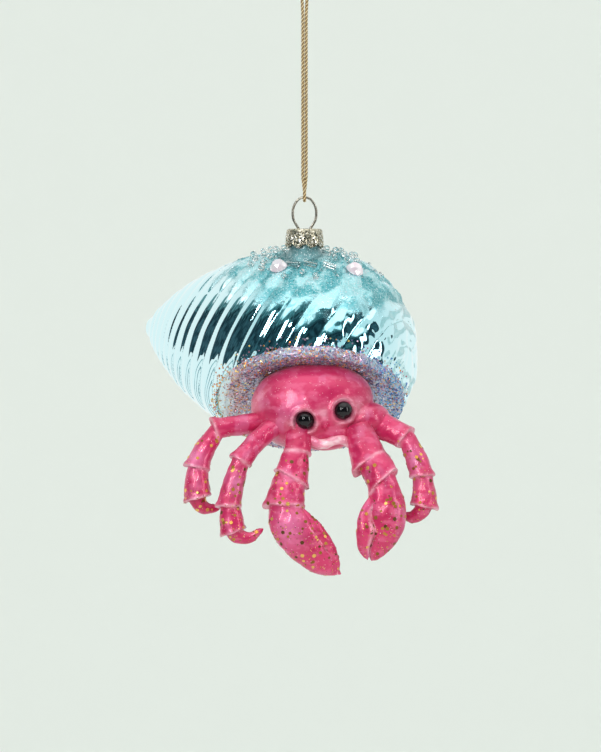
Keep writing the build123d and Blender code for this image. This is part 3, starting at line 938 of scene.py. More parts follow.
@dataclass(frozen=True)
class DrawnWire(Finish):
    """Drawn wire with a champagne plating."""

    name: str = "drawn_wire"
    tints: Pair = (rgb(132, 126, 114), rgb(190, 184, 170))

    def dress(self, board: Board, shader: Node) -> None:
        """Fills in the shader: plating worn into darker patches, with fine draw marks."""
        wear = Effects.put_mottle(board, size=1.6, detail=4.0)
        marks = Effects.put_mottle(board, size=0.35, detail=2.0, streak=0.2)
        self.set(
            board, shader,
            Base_Color=board.mix(wear, *self.tints),
            Metallic=1.0,
            Roughness=board.scaled(marks, 0.15, 0.2),
            Normal=board.bump(marks, strength=0.15, distance=0.05),
        )


@dataclass(frozen=True)
class CapMetal(Finish):
    """Thin pressed metal dusted with champagne glitter."""

    name: str = "cap_metal"
    plate: Colour = rgb(196, 188, 164)
    stops: Stops = (
        (0.0, rgb(96, 92, 76)), (0.3, rgb(190, 184, 164)), (0.6, rgb(226, 220, 204)),
        (0.85, rgb(140, 134, 112)),
    )

    def dress(self, board: Board, shader: Node) -> None:
        """Fills in the shader: bright and dark grains over a champagne plate."""
        grains = Effects.put_specks(board, size=0.5, share=1.0, radius=0.55).outputs
        tint = board.colours(grains["Number"], self.stops)
        self.set(
            board, shader,
            Base_Color=board.mix(grains["Mask"], self.plate, tint),
            Metallic=1.0,
            Roughness=board.scaled(grains["Number"], 0.25, 0.2),
            Normal=board.bump(grains["Number"], strength=0.6, distance=0.2),
        )


@dataclass(frozen=True)
class GoldThread(Finish):
    """Metallic gold thread."""

    name: str = "gold_thread"
    tints: Pair = (rgb(222, 190, 122), rgb(252, 240, 206))
    # Painted shade in the crevices between the plies.
    crevice_shade: Colour = rgb(112, 80, 36)

    def dress(self, board: Board, shader: Node) -> None:
        """Fills in the shader: pale gold foil, with painted shade between the filaments."""
        foil = Effects.put_mottle(board, size=0.5, detail=3.0)
        thread = board.mix(foil, *self.tints)
        # The crest mask keeps the plies' outsides bright and paints shade in the crevices between them.
        self.set(
            board, shader,
            Base_Color=board.mix(board.mask("crest"), self.crevice_shade, thread),
            Metallic=0.3,
            Roughness=board.scaled(foil, 0.2, 0.24),
            Normal=board.bump(foil, strength=0.35, distance=0.06),
        )


@dataclass(frozen=True)
class StudioPaper(Finish):
    """Matt pale paper under and behind the ornament, open from its back."""

    name: str = "studio_paper"
    colour: Colour = rgb(242, 247, 242)
    lift: float = 0.38
    near: float = 1.6
    far: float = 3.2

    def dress(self, board: Board, shader: Node) -> None:
        """Fills in the shader: one pale matt colour as far as the camera sees, clear from behind."""
        away = board.add("ShaderNodeVectorMath", {0: board.place()}, operation="LENGTH").outputs["Value"]
        seen = board.add("ShaderNodeLightPath").outputs["Is Camera Ray"]
        far_off = board.ramp(away, self.near, self.far, 0.0, self.lift)
        self.set(
            board, shader,
            Base_Color=self.colour,
            Roughness=0.9,
            Emission_Color=self.colour,
            Emission_Strength=board.times(seen, far_off),
        )
        back = board.add("ShaderNodeNewGeometry").outputs["Backfacing"]
        clear = board.add("ShaderNodeBsdfTransparent")
        either = board.add("ShaderNodeMixShader", {0: back, 1: shader.outputs[0], 2: clear.outputs[0]})
        output = next(node for node in board.tree.nodes if node.type == "OUTPUT_MATERIAL")
        board.tree.links.new(either.outputs[0], output.inputs[0])


@dataclass(frozen=True)
class StudioCloth(Finish):
    """Dull cloth hung round the camera, paler towards its top."""

    name: str = "dark_cloth"
    dark: Colour = rgb(30, 50, 60)
    light: Colour = rgb(78, 112, 124)
    top: Colour = rgb(150, 205, 212)

    def dress(self, board: Board, shader: Node) -> None:
        """Fills in the shader: soft folds between two colours, and a third one high up."""
        folds = Effects.put_mottle(board, size=300.0, detail=4.0)
        colour = board.mix(folds, self.dark, self.light)
        height = board.math("ADD", board.coordinate("Z"), board.times(folds, 0.7))
        colour = board.mix(board.ramp(height, 1.2, 2.3, 0.0, 0.8), colour, self.top)
        self.set(board, shader, Base_Color=colour, Roughness=1.0, Specular_IOR_Level=0.0)


LIP_TINTS: Stops = (
    (0.0, rgb(190, 158, 184)), (0.16, rgb(126, 122, 176)), (0.28, rgb(108, 168, 196)),
    (0.4, rgb(208, 140, 162)), (0.52, rgb(236, 238, 244)), (0.68, rgb(206, 128, 60)),
    (0.78, rgb(240, 204, 110)), (0.87, rgb(132, 110, 136)), (0.94, rgb(180, 214, 222)),
)
FROST_TINTS: Stops = (
    (0.0, rgb(184, 226, 228)), (0.22, rgb(92, 196, 202)), (0.42, rgb(20, 158, 168)),
    (0.6, rgb(140, 212, 214)), (0.76, rgb(56, 178, 186)), (0.92, rgb(240, 248, 248)),
)
GOLD_TINTS: Stops = (
    (0.0, rgb(186, 132, 58)), (0.35, rgb(140, 92, 38)), (0.62, rgb(226, 180, 96)), (0.82, rgb(104, 70, 34)),
)
CAP_TINTS: Stops = (
    (0.0, rgb(226, 220, 200)), (0.35, rgb(150, 142, 120)), (0.6, rgb(240, 238, 230)),
    (0.85, rgb(110, 104, 84)),
)


# Repeated pieces


class Copies:
    """What the trees of geometry nodes that set copies of a piece have in common."""

    @staticmethod
    def start(name: str, inputs: Dict[str, str]) -> Board:
        """Starts a tree from geometry to geometry.

        Args:
            name: The tree's name.
            inputs: Its other inputs and their kinds.

        Returns:
            A board on the tree.
        """
        tree = bpy.data.node_groups.new(name, "GeometryNodeTree")
        for label, kind in {"Geometry": "Geometry", **inputs}.items():
            tree.interface.new_socket(name=label, in_out="INPUT", socket_type=f"NodeSocket{kind}")
        tree.interface.new_socket(name="Geometry", in_out="OUTPUT", socket_type="NodeSocketGeometry")
        return Board(tree)

    @staticmethod
    def size(board: Board, given: Sockets) -> Socket:
        """Adds a random size for each copy and returns it."""
        inputs = {2: given["Smallest"], 3: given["Largest"], "Seed": given["Seed"]}
        return board.add("FunctionNodeRandomValue", inputs, data_type="FLOAT").outputs[1]

    @staticmethod
    def turn(board: Board, given: Sockets, most: Point) -> Socket:
        """Adds random turns about three axes, up to so much each way, and returns them."""
        inputs = {0: [-number for number in most], 1: most, "Seed": given["Seed"]}
        return board.add("FunctionNodeRandomValue", inputs, data_type="FLOAT_VECTOR").outputs[0]

    @staticmethod
    def end(board: Board, copies: Socket, material: Socket) -> Tree:
        """Makes the copies real and gives them their material.

        Args:
            board: The tree's nodes.
            copies: The copies.
            material: What they are made of.

        Returns:
            The finished tree.
        """
        real = board.add("GeometryNodeRealizeInstances", {"Geometry": copies})
        inputs = {"Geometry": real.outputs[0], "Material": material}
        board.add("NodeGroupOutput", {0: board.add("GeometryNodeSetMaterial", inputs).outputs[0]})
        return board.tree

    @staticmethod
    def grow(thing: Thing, tree: Tree, values: Dict[str, object]) -> Thing:
        """Runs a tree on an object.

        Args:
            thing: The object.
            tree: The tree.
            values: Values for the tree's inputs, by name.

        Returns:
            The same object with the plain result.
        """
        modifier = thing.modifiers.new("copies", "NODES")
        modifier.node_group = tree
        for item in tree.interface.items_tree:
            if item.in_out == "INPUT" and item.name in values:
                modifier[item.identifier] = values[item.name]
        return made_plain(thing)


@dataclass
class Scatter(Copies):
    """Small cut pieces strewn over a surface by a tree of geometry nodes."""

    name: str
    density: float
    smallest: float
    largest: float
    tilt: float
    lift: float
    seed: int
    mask: str

    _tint_seed: ClassVar[int] = 7
    _tree: ClassVar[Optional[Tree]] = None

    @classmethod
    def tree(cls) -> Tree:
        """Makes the tree that strews pieces, at the first call.

        Returns:
            The tree.
        """
        if cls._tree is not None:
            return cls._tree
        inputs = {"Piece": "Object", "Mask": "String"}
        inputs.update({label: "Float" for label in ("Density", "Smallest", "Largest", "Tilt", "Lift")})
        board = cls.start("strewn pieces", {**inputs, "Seed": "Int", "Material": "Material"})
        given = board.add("NodeGroupInput").outputs
        mask = board.add("GeometryNodeInputNamedAttribute", {"Name": given["Mask"]}, data_type="FLOAT")
        density = board.times(mask.outputs["Attribute"], given["Density"])
        points = board.add(
            "GeometryNodeDistributePointsOnFaces",
            {"Mesh": given["Geometry"], "Density": density, "Seed": given["Seed"]},
            distribute_method="RANDOM",
        )
        piece = board.add("GeometryNodeObjectInfo", {"Object": given["Piece"]})
        lean = cls.turn(board, given, (1.0, 1.0, math.pi))
        scale = board.add("ShaderNodeCombineXYZ", {"X": given["Tilt"], "Y": given["Tilt"], "Z": 1.0})
        leant = board.add("ShaderNodeVectorMath", {0: lean, 1: scale.outputs[0]}, operation="MULTIPLY")
        turn = board.add("FunctionNodeEulerToRotation", {"Euler": leant.outputs[0]})
        placed = board.add(
            "FunctionNodeRotateRotation",
            {"Rotation": points.outputs["Rotation"], "Rotate By": turn.outputs[0]},
            rotation_space="LOCAL",
        )
        strewn = board.add(
            "GeometryNodeInstanceOnPoints",
            {
                "Points": points.outputs["Points"],
                "Instance": piece.outputs["Geometry"],
                "Rotation": placed.outputs[0],
                "Scale": cls.size(board, given),
            },
        )
        up = board.add("ShaderNodeCombineXYZ", {"Z": given["Lift"]})
        raised = board.add(
            "GeometryNodeTranslateInstances",
            {"Instances": strewn.outputs[0], "Translation": up.outputs[0], "Local Space": True},
        )
        tint = board.add("FunctionNodeRandomValue", {"Seed": cls._tint_seed}, data_type="FLOAT")
        tinted = board.add(
            "GeometryNodeStoreNamedAttribute",
            {"Geometry": raised.outputs[0], "Name": "tint", "Value": tint.outputs[1]},
            data_type="FLOAT",
            domain="INSTANCE",
        )
        cls._tree = cls.end(board, tinted.outputs[0], given["Material"])
        return cls._tree

    def strew(self, surface: Thing, piece: Thing, material: Material) -> Thing:
        """Strews a piece over a surface.

        Args:
            surface: What the pieces lie on, with a number for each vertex under the mask's name.
            piece: The piece, made about the origin at a size of one millimetre.
            material: What the pieces are made of.

        Returns:
            A plain object of all the strewn pieces.
        """
        values = {
            "Piece": piece,
            "Mask": self.mask,
            "Density": self.density / (MM * MM),
            "Smallest": self.smallest,
            "Largest": self.largest,
            "Tilt": self.tilt,
            "Lift": self.lift * MM,
            "Seed": self.seed,
            "Material": material,
        }
        return self.grow(add_object(self.name, surface.data.copy()), self.tree(), values)


@dataclass
class Threading(Copies):
    """Beads set at given places by a tree of geometry nodes, each turned its own way."""

    name: str
    smallest: float
    largest: float
    seed: int

    _tree: ClassVar[Optional[Tree]] = None

    @classmethod
    def tree(cls) -> Tree:
        """Makes the tree that sets beads, at the first call.

        Returns:
            The tree.
        """
        if cls._tree is not None:
            return cls._tree
        inputs = {"Bead": "Object", "Smallest": "Float", "Largest": "Float"}
        board = cls.start("set beads", {**inputs, "Seed": "Int", "Material": "Material"})
        given = board.add("NodeGroupInput").outputs
        points = board.add("GeometryNodeMeshToPoints", {"Mesh": given["Geometry"]})
        bead = board.add("GeometryNodeObjectInfo", {"Object": given["Bead"]})
        way = cls.turn(board, given, (math.pi, math.pi, math.pi))
        turn = board.add("FunctionNodeEulerToRotation", {"Euler": way})
        placed = board.add(
            "GeometryNodeInstanceOnPoints",
            {
                "Points": points.outputs[0],
                "Instance": bead.outputs["Geometry"],
                "Rotation": turn.outputs[0],
                "Scale": cls.size(board, given),
            },
        )
        cls._tree = cls.end(board, placed.outputs[0], given["Material"])
        return cls._tree

    def set_beads(self, places: np.ndarray, bead: Thing, material: Material) -> Thing:
        """Sets a bead at each place.

        Args:
            places: Where the beads' middles are, in millimetres.
            bead: The bead, made about the origin.
            material: What the beads are made of.

        Returns:
            A plain object of all the beads.
        """
        values = {
            "Bead": bead,
            "Smallest": self.smallest,
            "Largest": self.largest,
            "Seed": self.seed,
            "Material": material,
        }
        return self.grow(solid_object(self.name, places, []), self.tree(), values)


def hexagon_flake(name: str, thick: float = 0.12, table: float = 0.92) -> Thing:
    """Makes a six-sided foil flake one millimetre across its corners.

    Args:
        name: The flake's name.
        thick: Its thickness in millimetres.
        table: Width of its upper face as a share of the lower one.

    Returns:
        The flake.
    """
    sides = 6
    turns = [math.tau * side / sides for side in range(sides)]
    rim = [(0.5 * math.cos(turn), 0.5 * math.sin(turn)) for turn in turns]
    points = [(x, y, 0.0) for x, y in rim] + [(table * x, table * y, thick) for x, y in rim]
    faces: List[Tuple[int, ...]] = [tuple(range(sides, 2 * sides)), tuple(reversed(range(sides)))]
    for side in range(sides):
        after = (side + 1) % sides
        faces.append((side, after, sides + after, sides + side))
    return solid_object(name, np.array(points), faces, smooth=False)


def sugar_crystal(name: str) -> Thing:
    """Makes a broken glass crystal one millimetre long.

    Args:
        name: The crystal's name.

    Returns:
        The crystal.
    """
    points = [
        (0.5, 0.02, 0.05), (-0.48, 0.06, 0.0), (0.04, 0.42, -0.04),
        (-0.06, -0.4, 0.06), (0.08, 0.03, 0.42), (-0.02, 0.0, -0.3),
    ]
    faces = [(0, 2, 4), (2, 1, 4), (1, 3, 4), (3, 0, 4), (2, 0, 5), (1, 2, 5), (3, 1, 5), (0, 3, 5)]
    return solid_object(name, np.array(points), faces, smooth=False)


# Sub-assemblies


@dataclass
class Cord:
    """The gold cord: one doubled string, knotted over the hook and looped through the wire eye."""

    diameter: float = 1.1
    apart: float = 0.6
    opening: float = 1.95
    knot_rise: float = 5.0
    round_wire: float = 1.06
    smoothness: int = 48
    lay: float = 2.8
    rings_each_lay: int = 14
    plies: int = 4
    ply_sides: int = 8
    ply_share: float = 0.46
    ply_sink: float = 0.8
    dull_share: float = 0.12
    crest_from: float = 0.56
    crest_width: float = 0.3
    knot_size: float = 0.52
    knot_middle: float = 1.6
    knot_steps: int = 220

    def route(self) -> List[Point]:
        """Lists the cord's control points from the knot down, round the wire and back up.

        Returns:
            The points in millimetres.
        """
        down: List[Point] = [
            (-self.apart, 0.0, self.knot_rise),
            (-self.apart, 0.0, 3.0),
            (-self.opening, 0.0, -4.0),
            (-self.apart, 0.0, -16.0),
            (-self.apart, 0.0, -28.0),
            (-self.apart, 0.0, -75.8),
            (-self.apart, 0.0, -78.05),
            (0.0, -self.round_wire, -82.55),
            (0.0, -self.round_wire, -84.8),
            (0.0, -self.round_wire, -85.95),
        ]
        return down + [(-x, -y, z) for x, y, z in reversed(down)]

    def line(self, control: Sequence[Point]) -> np.ndarray:
        """Reads a smooth spline.

        Args:
            control: Its control points in millimetres.

        Returns:
            Points along it in millimetres, one row each.
        """
        curve = bpy.data.curves.new("cord_line", "CURVE")
        curve.dimensions = "3D"
        curve.resolution_u = self.smoothness
        spline = curve.splines.new("NURBS")
        spline.points.add(len(control) - 1)
        for point, place in zip(spline.points, control):
            point.co = (place[0] * MM, place[1] * MM, place[2] * MM, 1.0)
        spline.order_u = 3
        spline.use_endpoint_u = True
        thing = bpy.data.objects.new("cord_line", curve)
        bpy.context.scene.collection.objects.link(thing)
        graph = bpy.context.evaluated_depsgraph_get()
        mesh = bpy.data.meshes.new_from_object(thing.evaluated_get(graph), depsgraph=graph)
        places = np.array([vertex.co[:] for vertex in mesh.vertices]) / MM
        bpy.data.meshes.remove(mesh)
        bpy.data.objects.remove(thing)
        bpy.data.curves.remove(curve)
        return places

    def rope(self, name: str, line: np.ndarray, twist: float = 0.0) -> Thing:
        """Lays plies round a line of points.

        Args:
            name: The piece's name.
            line: Points that the rope follows, in millimetres.
            twist: Turn of the first ply at the start.

        Returns:
            The rope as one object.
        """
        steps = np.linalg.norm(np.diff(line, axis=0), axis=1)
        along = np.concatenate([[0.0], np.cumsum(steps)])
        count = max(int(along[-1] / self.lay * self.rings_each_lay), 8)
        spots = np.linspace(0.0, along[-1], count)
        middle = np.stack([np.interp(spots, along, line[:, axis]) for axis in range(3)], axis=1)
        ahead = np.gradient(middle, axis=0)
        ahead /= np.linalg.norm(ahead, axis=1, keepdims=True)
        side = np.cross(ahead[0], (0.0, 1.0, 0.02))
        side /= np.linalg.norm(side)
        sides = []
        for direction in ahead:
            side = side - direction * np.dot(side, direction)
            side /= np.linalg.norm(side)
            sides.append(side.copy())
        across = np.array(sides)
        over = np.cross(ahead, across)
        radius = self.diameter / 2
        ply = radius * self.ply_share
        off = radius - ply * self.ply_sink
        pieces = []
        crest = []
        for strand in range(self.plies):
            turn = twist + math.tau * (strand / self.plies + spots / self.lay)
            heart = middle + off * (np.cos(turn)[:, None] * across + np.sin(turn)[:, None] * over)
            rings = []
            for spoke in range(self.ply_sides):
                angle = math.tau * spoke / self.ply_sides
                rings.append(heart + ply * (math.cos(angle) * across + math.sin(angle) * over))
            stack = np.stack(rings, axis=1)
            points = np.concatenate([stack.reshape(-1, 3), heart[:1], heart[-1:]])
            # Painted shade: the crest mask is low in the crevices between the plies; every other ply is
            # darker nearly all over, a two-tone lay.
            away = np.linalg.norm(stack - middle[:, None], axis=2).ravel() / (off + ply)
            shine = self.dull_share if strand % 2 else 1.0
            high = np.clip((away - self.crest_from) / self.crest_width, 0.0, 1.0)
            crest += [shine * high, np.zeros(2)]
            pieces.append(solid_object(f"{name}_ply{strand}", points, ring_faces(count, self.ply_sides)))
        rope = joined(name, pieces)
        put_mask(rope, "crest", np.concatenate(crest))
        turn_outwards(rope)
        rope.data.polygons.foreach_set("use_smooth", [True] * len(rope.data.polygons))
        return rope

    def knot(self) -> Thing:
        """Builds the tight overhand knot with its two tails.

        Returns:
            The knot.
        """
        turns = np.linspace(0.0, math.tau, self.knot_steps)
        size = self.knot_size
        middle = self.knot_rise + self.knot_middle
        loop = np.stack(
            [
                size * (np.sin(turns) + 2.0 * np.sin(2.0 * turns)),
                size * 0.9 * np.sin(3.0 * turns),
                size * (np.cos(turns) - 2.0 * np.cos(2.0 * turns)) + middle,
            ],
            axis=1,
        )
        pieces = [self.rope("knot_wrap", loop)]
        for side in (-1.0, 1.0):
            tail = [
                (side * 0.4, 0.0, middle),
                (side * 0.5, 0.1, self.knot_rise + 3.6),
                (side * 0.62, -0.1, self.knot_rise + 5.4),
                (side * 0.95, 0.1, self.knot_rise + 7.0),
            ]
            pieces.append(self.rope("knot_tail", self.line(tail), side))
            root = [
                (side * 0.4, 0.0, middle),
                (side * 0.6, 0.0, self.knot_rise + 0.6),
                (side * self.apart, 0.0, self.knot_rise - 0.3),
            ]
            pieces.append(self.rope("knot_root", self.line(root), side))
        return joined("knot", pieces, "crest")

    def build(self) -> None:
        """Builds, dresses and hangs the cord."""
        finish = GoldThread().material()
        line = self.line(self.route())
        cord = dressed(self.rope("gold_cord", line), finish)
        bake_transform(cord)
        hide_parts("cord_strands", "cord_bight")
        knot = dressed(self.knot(), finish)
        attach(knot, Body.CORD.value)
        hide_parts("cord_knot")


@dataclass
class Hanger:
    """The metal cap on the neck and the wire eye through it."""

    cap_top: float = -96.45
    inner: float = 5.6
    wall: float = 0.42
    height: float = 6.5
    points: int = 8
    notch: float = 1.5
    crimps: int = 27
    crimp_depth: float = 0.1
    sides: int = 216
    skirt_rows: int = 14
    shoulder: float = 1.7
    roll: float = 0.55
    groove: float = 0.12
    flare: float = 0.25

    def cap(self) -> Thing:
        """Builds the crimped cap with its pointed skirt.

        Returns:
            The cap.
        """
        outer = self.inner + self.wall
        groove = outer - self.groove
        roll = self.roll
        profile: List[Span] = [(0.8, 0.05), (1.6, 0.05), (3.2, 0.02), (4.6, -0.02)]
        profile += [
            (outer - roll + roll * math.sin(turn), -roll + roll * math.cos(turn))
            for turn in np.linspace(0.2, math.pi / 2, 6)
        ]
        profile += [(outer, -0.9), (groove, -1.15), (groove, -1.45), (outer, -self.shoulder)]
        turns = full_turn(self.sides)
        rings = [spun(turns, radius, depth) for radius, depth in profile]
        wave = np.abs(np.mod(turns * self.points / math.tau, 1.0) * 2.0 - 1.0)
        bottom = -self.height + self.notch * wave**1.4
        crimp = 1.0 + self.crimp_depth / outer * np.cos(turns * self.crimps)
        for row in range(1, self.skirt_rows + 1):
            share = row / self.skirt_rows
            depth = -self.shoulder + (bottom + self.shoulder) * share
            spread = outer + self.flare * share**2
            rings.append(spun(turns, spread * (1.0 + (crimp - 1.0) * min(1.0, 2.0 * share)), depth))
        points = np.concatenate(rings) + np.array([0.0, 0.0, self.cap_top])
        faces = [tuple(reversed(face)) for face in ring_faces(len(rings), self.sides, closed=False)]
        faces.append(tuple(range(self.sides)))
        cap = solid_object("cap", points, faces)
        turn_outwards(cap)
        thick = cap.modifiers.new("wall", "SOLIDIFY")
        thick.thickness = self.wall * MM
        thick.offset = -1.0
        return made_plain(cap)

    def build(self) -> None:
        """Builds the cap, dusts it with glitter and dresses the wire."""
        cap = dressed(self.cap(), CapMetal().material())
        places = vertex_places(cap)
        outside = np.hypot(places[:, 0], places[:, 1]) > self.inner + 0.6 * self.wall
        put_mask(cap, "dust", np.where(outside & (places[:, 2] < self.cap_top - 1.0), 1.0, 0.0))
        flake = hexagon_flake("cap_flake")
        foil = TintedFlakes("cap_flakes", CAP_TINTS, metallic=1.0, roughness=0.18).material()
        strewn = Scatter(
            "cap_glitter", density=2.6, smallest=0.4, largest=0.85, tilt=0.55, lift=0.02, seed=11, mask="dust"
        )
        dust = strewn.strew(cap, flake, foil)
        removed(flake)
        for piece in (cap, dust):
            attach(piece, Body.HANGER.value)
        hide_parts("neck_cap")
        dressed(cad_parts["hanger_wire"], DrawnWire().material())
        LOG.info("cap with %d faces and %d of glitter", len(cap.data.polygons), len(dust.data.polygons))


@dataclass
class Shell:
    """The ribbed, silvered shell with its neck, and the glitter on and round its mouth."""

    centre: Point = (3.6, 8.2, -140.05)
    ball: float = 36.0
    tip: float = 5.5
    reach: float = 67.0
    flank: float = 88.0
    yaw: float = 25.0
    pitch: float = 8.0
    ribs: int = 18
    growth: float = 1.07
    rib_rise: float = 0.1
    rib_tilt: float = 0.34
    front_smooth: float = 10.0
    rows: int = 340
    columns: int = 230
    crowding: float = 0.28
    mouth_pitch: float = 32.0
    mouth_side: float = -1.3
    mouth_radius: float = 30.75
    mouth_depth: float = 3.0
    lip_outer: float = 33.2
    neck_top: float = -96.95
    neck_radius: float = 5.4
    bore_radius: float = 4.2
    neck_sides: int = 96
    coat_sides: int = 300
    lean_reach: float = 30.0
    least_lean: float = 0.15
    lean_turn: float = 0.15
    tip_fade: float = 6.0
    front_fade: float = 14.0
    tip_bead: float = 0.5
    dent_depth: float = 0.72
    dent_grain: float = 6.0
    throat_step: float = 1.2
    throat_slope: float = 0.6
    trim_reach: float = 10.0
    bore_spare: float = 0.6
    bore_below: float = -112.0
    bore_sink: float = 20.0
    thin_end: float = -29.0
    thin_width: float = 5.0

    def axes(self) -> Tuple[np.ndarray, np.ndarray, np.ndarray]:
        """Works out the shell's own directions.

        Returns:
            The directions to the pole opposite the tip, up, and to the front.
        """
        yaw, pitch = math.radians(self.yaw), math.radians(self.pitch)
        level, rise = math.cos(pitch), math.sin(pitch)
        along = np.array([math.cos(yaw) * level, -math.sin(yaw) * level, -rise])
        up = np.array([math.cos(yaw) * rise, -math.sin(yaw) * rise, level])
        return along, up, np.cross(along, up)

    def arcs(self) -> List[Tuple[float, float, float, float, float]]:
        """Works out the arcs of the shell's outline.

        Returns:
            Axial and radial centre, radius, and first and last turn of each arc.
        """
        place = self.reach - self.tip
        axial = ((self.flank - self.tip) ** 2 - (self.flank - self.ball) ** 2 - place**2) / (2 * place)
        radial = -math.sqrt((self.flank - self.ball) ** 2 - axial**2)
        first = math.atan2(axial + place, -radial)
        second = math.atan2(axial, -radial)
        return [
            (-place, 0.0, self.tip, math.pi / 2, first),
            (axial, radial, self.flank, first, second),
            (0.0, 0.0, self.ball, second, -math.pi / 2),
        ]

    def outline(self, along: np.ndarray, rise: np.ndarray) -> Tuple[np.ndarray, np.ndarray]:
        """Axial and radial places at distances along the outline, raised off it.

        Args:
            along: Distances from the tip.
            rise: How far each place stands off the outline.

        Returns:
            Two arrays, axial and radial.
        """
        axial = np.zeros_like(along)
        radial = np.zeros_like(along)
        start = 0.0
        for x, y, radius, first, last in self.arcs():
            length = radius * (first - last)
            here = (along >= start - 1e-9) & (along <= start + length + 1e-6)
            turn = first - (along - start) / radius
            axial = np.where(here, x - (radius + rise) * np.sin(turn), axial)
            radial = np.where(here, y + (radius + rise) * np.cos(turn), radial)
            start += length
        return axial, radial

    def length(self) -> Tuple[float, float]:
        """Returns the length of the tip's arc and of the whole outline."""
        lengths = [radius * (first - last) for _, _, radius, first, last in self.arcs()]
        return lengths[0], sum(lengths)

    def rib_height(self, along: np.ndarray) -> np.ndarray:
        """Works out how high the ribs stand over the smooth outline.

        Args:
            along: Distances along the outline, from the tip.

        Returns:
            The heights there.
        """
        tip_arc, whole = self.length()
        first = (whole - self.front_smooth - tip_arc) * (self.growth - 1) / (self.growth**self.ribs - 1)
        past = np.clip(along - tip_arc, 0.0, None)
        rib = np.floor(np.log1p(past * (self.growth - 1) / first) / math.log(self.growth))
        width = first * self.growth**rib
        share = (past - (width - first) / (self.growth - 1)) / width
        hump = np.sin(np.pi * np.clip(share, 0.0, 1.0)) ** 0.8
        return self.rib_rise * width * hump

    def skin(self) -> Thing:
        """Builds the shell's closed outside with its leaning ribs.

        Returns:
            The outside.
        """
        tip_arc, whole = self.length()
        along_axis, up, front = self.axes()
        spread = np.linspace(0.0, 1.0, self.rows + 2)[1:-1]
        along = whole * ((1.0 - self.crowding) * spread + self.crowding * spread**2)
        turns = full_turn(self.columns)
        grid, turn = np.meshgrid(along, turns, indexing="ij")
        _, plain = self.outline(grid, np.zeros_like(grid))
        lean = self.rib_tilt * plain * np.clip((grid - tip_arc) / self.lean_reach, self.least_lean, 1.0)
        shifted = grid - lean * np.cos(turn + self.lean_turn)
        fade = np.clip((grid - 0.6 * tip_arc) / self.tip_fade, 0.0, 1.0)
        fade = fade * np.clip((whole - grid) / self.front_fade, 0.0, 1.0)
        rise = self.rib_height(shifted) * fade
        swell = np.exp(-(((grid - 0.7 * tip_arc) / 3.5) ** 2))
        waist = np.exp(-(((grid - 1.5 * tip_arc) / 2.0) ** 2))
        rise += self.tip_bead * swell - self.tip_bead * waist
        axial, radial = self.outline(grid, rise)
        spoke = np.cos(turn)[..., None] * up + np.sin(turn)[..., None] * front
        points = np.array(self.centre) + axial[..., None] * along_axis + radial[..., None] * spoke
        poles_axial, _ = self.outline(np.array([0.0, whole]), np.zeros(2))
        poles = np.array(self.centre) + poles_axial[:, None] * along_axis
        skin = solid_object(
            "shell", np.concatenate([points.reshape(-1, 3), poles]), ring_faces(self.rows, self.columns)
        )
        turn_outwards(skin)
        hand_wobble(skin, height=0.22, grain=9.0, seed=3.0)
        self.dimple(skin)
        return skin

    def dimple(self, skin: Thing) -> None:
        """Presses wandering dents into the end of the shell opposite the tip.

        Args:
            skin: The shell's outside.
        """
        along_axis, _, _ = self.axes()
        places = vertex_places(skin)
        share = ((places - np.array(self.centre)) @ along_axis / self.ball - 0.05) / 0.55
        waves = waves_at(places, self.dent_grain) + 0.45 * waves_at(places, self.dent_grain / 2)
        push_skin(skin, self.dent_depth * np.clip(share, 0.0, 1.0) * waves)

    def mouth_axes(self) -> Tuple[np.ndarray, np.ndarray, np.ndarray, np.ndarray]:
        """Works out where the mouth is and which way it faces.

        Returns:
            Its middle on the ball's centre plane, and across, up-face and outwards.
        """
        turn = math.radians(self.mouth_pitch)
        out = np.array([0.0, -math.sin(turn), -math.cos(turn)])
        across = np.array([1.0, 0.0, 0.0])
        middle = np.array(self.centre) + np.array([self.mouth_side, 0.0, 0.0])
        return middle, across, np.cross(out, across), out

    def edge(self) -> float:
        """Returns the distance of the mouth's edge from the ball's centre plane."""
        return math.sqrt(self.ball**2 - self.mouth_radius**2)

    def open_up(self, skin: Thing) -> None:
        """Sinks the skin into the mouth and the neck's bore, and trims it flat round the lip.

        Args:
            skin: The shell's outside.
        """
        places = vertex_places(skin)
        middle, across, face, out = self.mouth_axes()
        local = places - middle
        flat = np.hypot(local @ across, local @ face)
        height = local @ out
        edge = self.edge()
        throat = self.mouth_radius - self.throat_step
        outside = self.lip_outer + self.trim_reach
        limit = np.interp(
            flat,
            [0.0, throat, throat + self.throat_slope, self.lip_outer, outside],
            [edge - self.mouth_depth, edge - self.mouth_depth, edge, edge, edge + self.trim_reach],
        )
        sunk = np.where((flat < outside) & (height > limit), limit - height, 0.0)
        places = places + sunk[:, None] * out
        bore = np.hypot(places[:, 0], places[:, 1]) < self.bore_radius + self.bore_spare
        places[:, 2] -= np.where(bore & (places[:, 2] > self.bore_below), self.bore_sink, 0.0)
        set_places(skin, places)

    def neck(self) -> Thing:
        """Builds the glass neck with its bore and spreading foot.

        Returns:
            The neck.
        """
        top, outer, bore = self.neck_top, self.neck_radius, self.bore_radius
        profile = [
            (9.9, top - 16.5), (8.4, top - 12.0), (6.9, top - 9.0), (5.9, top - 7.4),
            (outer, top - 6.2), (outer, top - 0.5), (outer - 0.3, top - 0.1), (outer - 0.6, top),
            (bore + 0.2, top - 0.1), (bore, top - 0.4), (bore, top - 21.0),
        ]
        rings = [spun(full_turn(self.neck_sides), radius, height) for radius, height in profile]
        faces = ring_faces(len(rings), self.neck_sides, closed=False)
        neck = solid_object("neck", np.concatenate(rings), faces)
        turn_outwards(neck)
        return neck

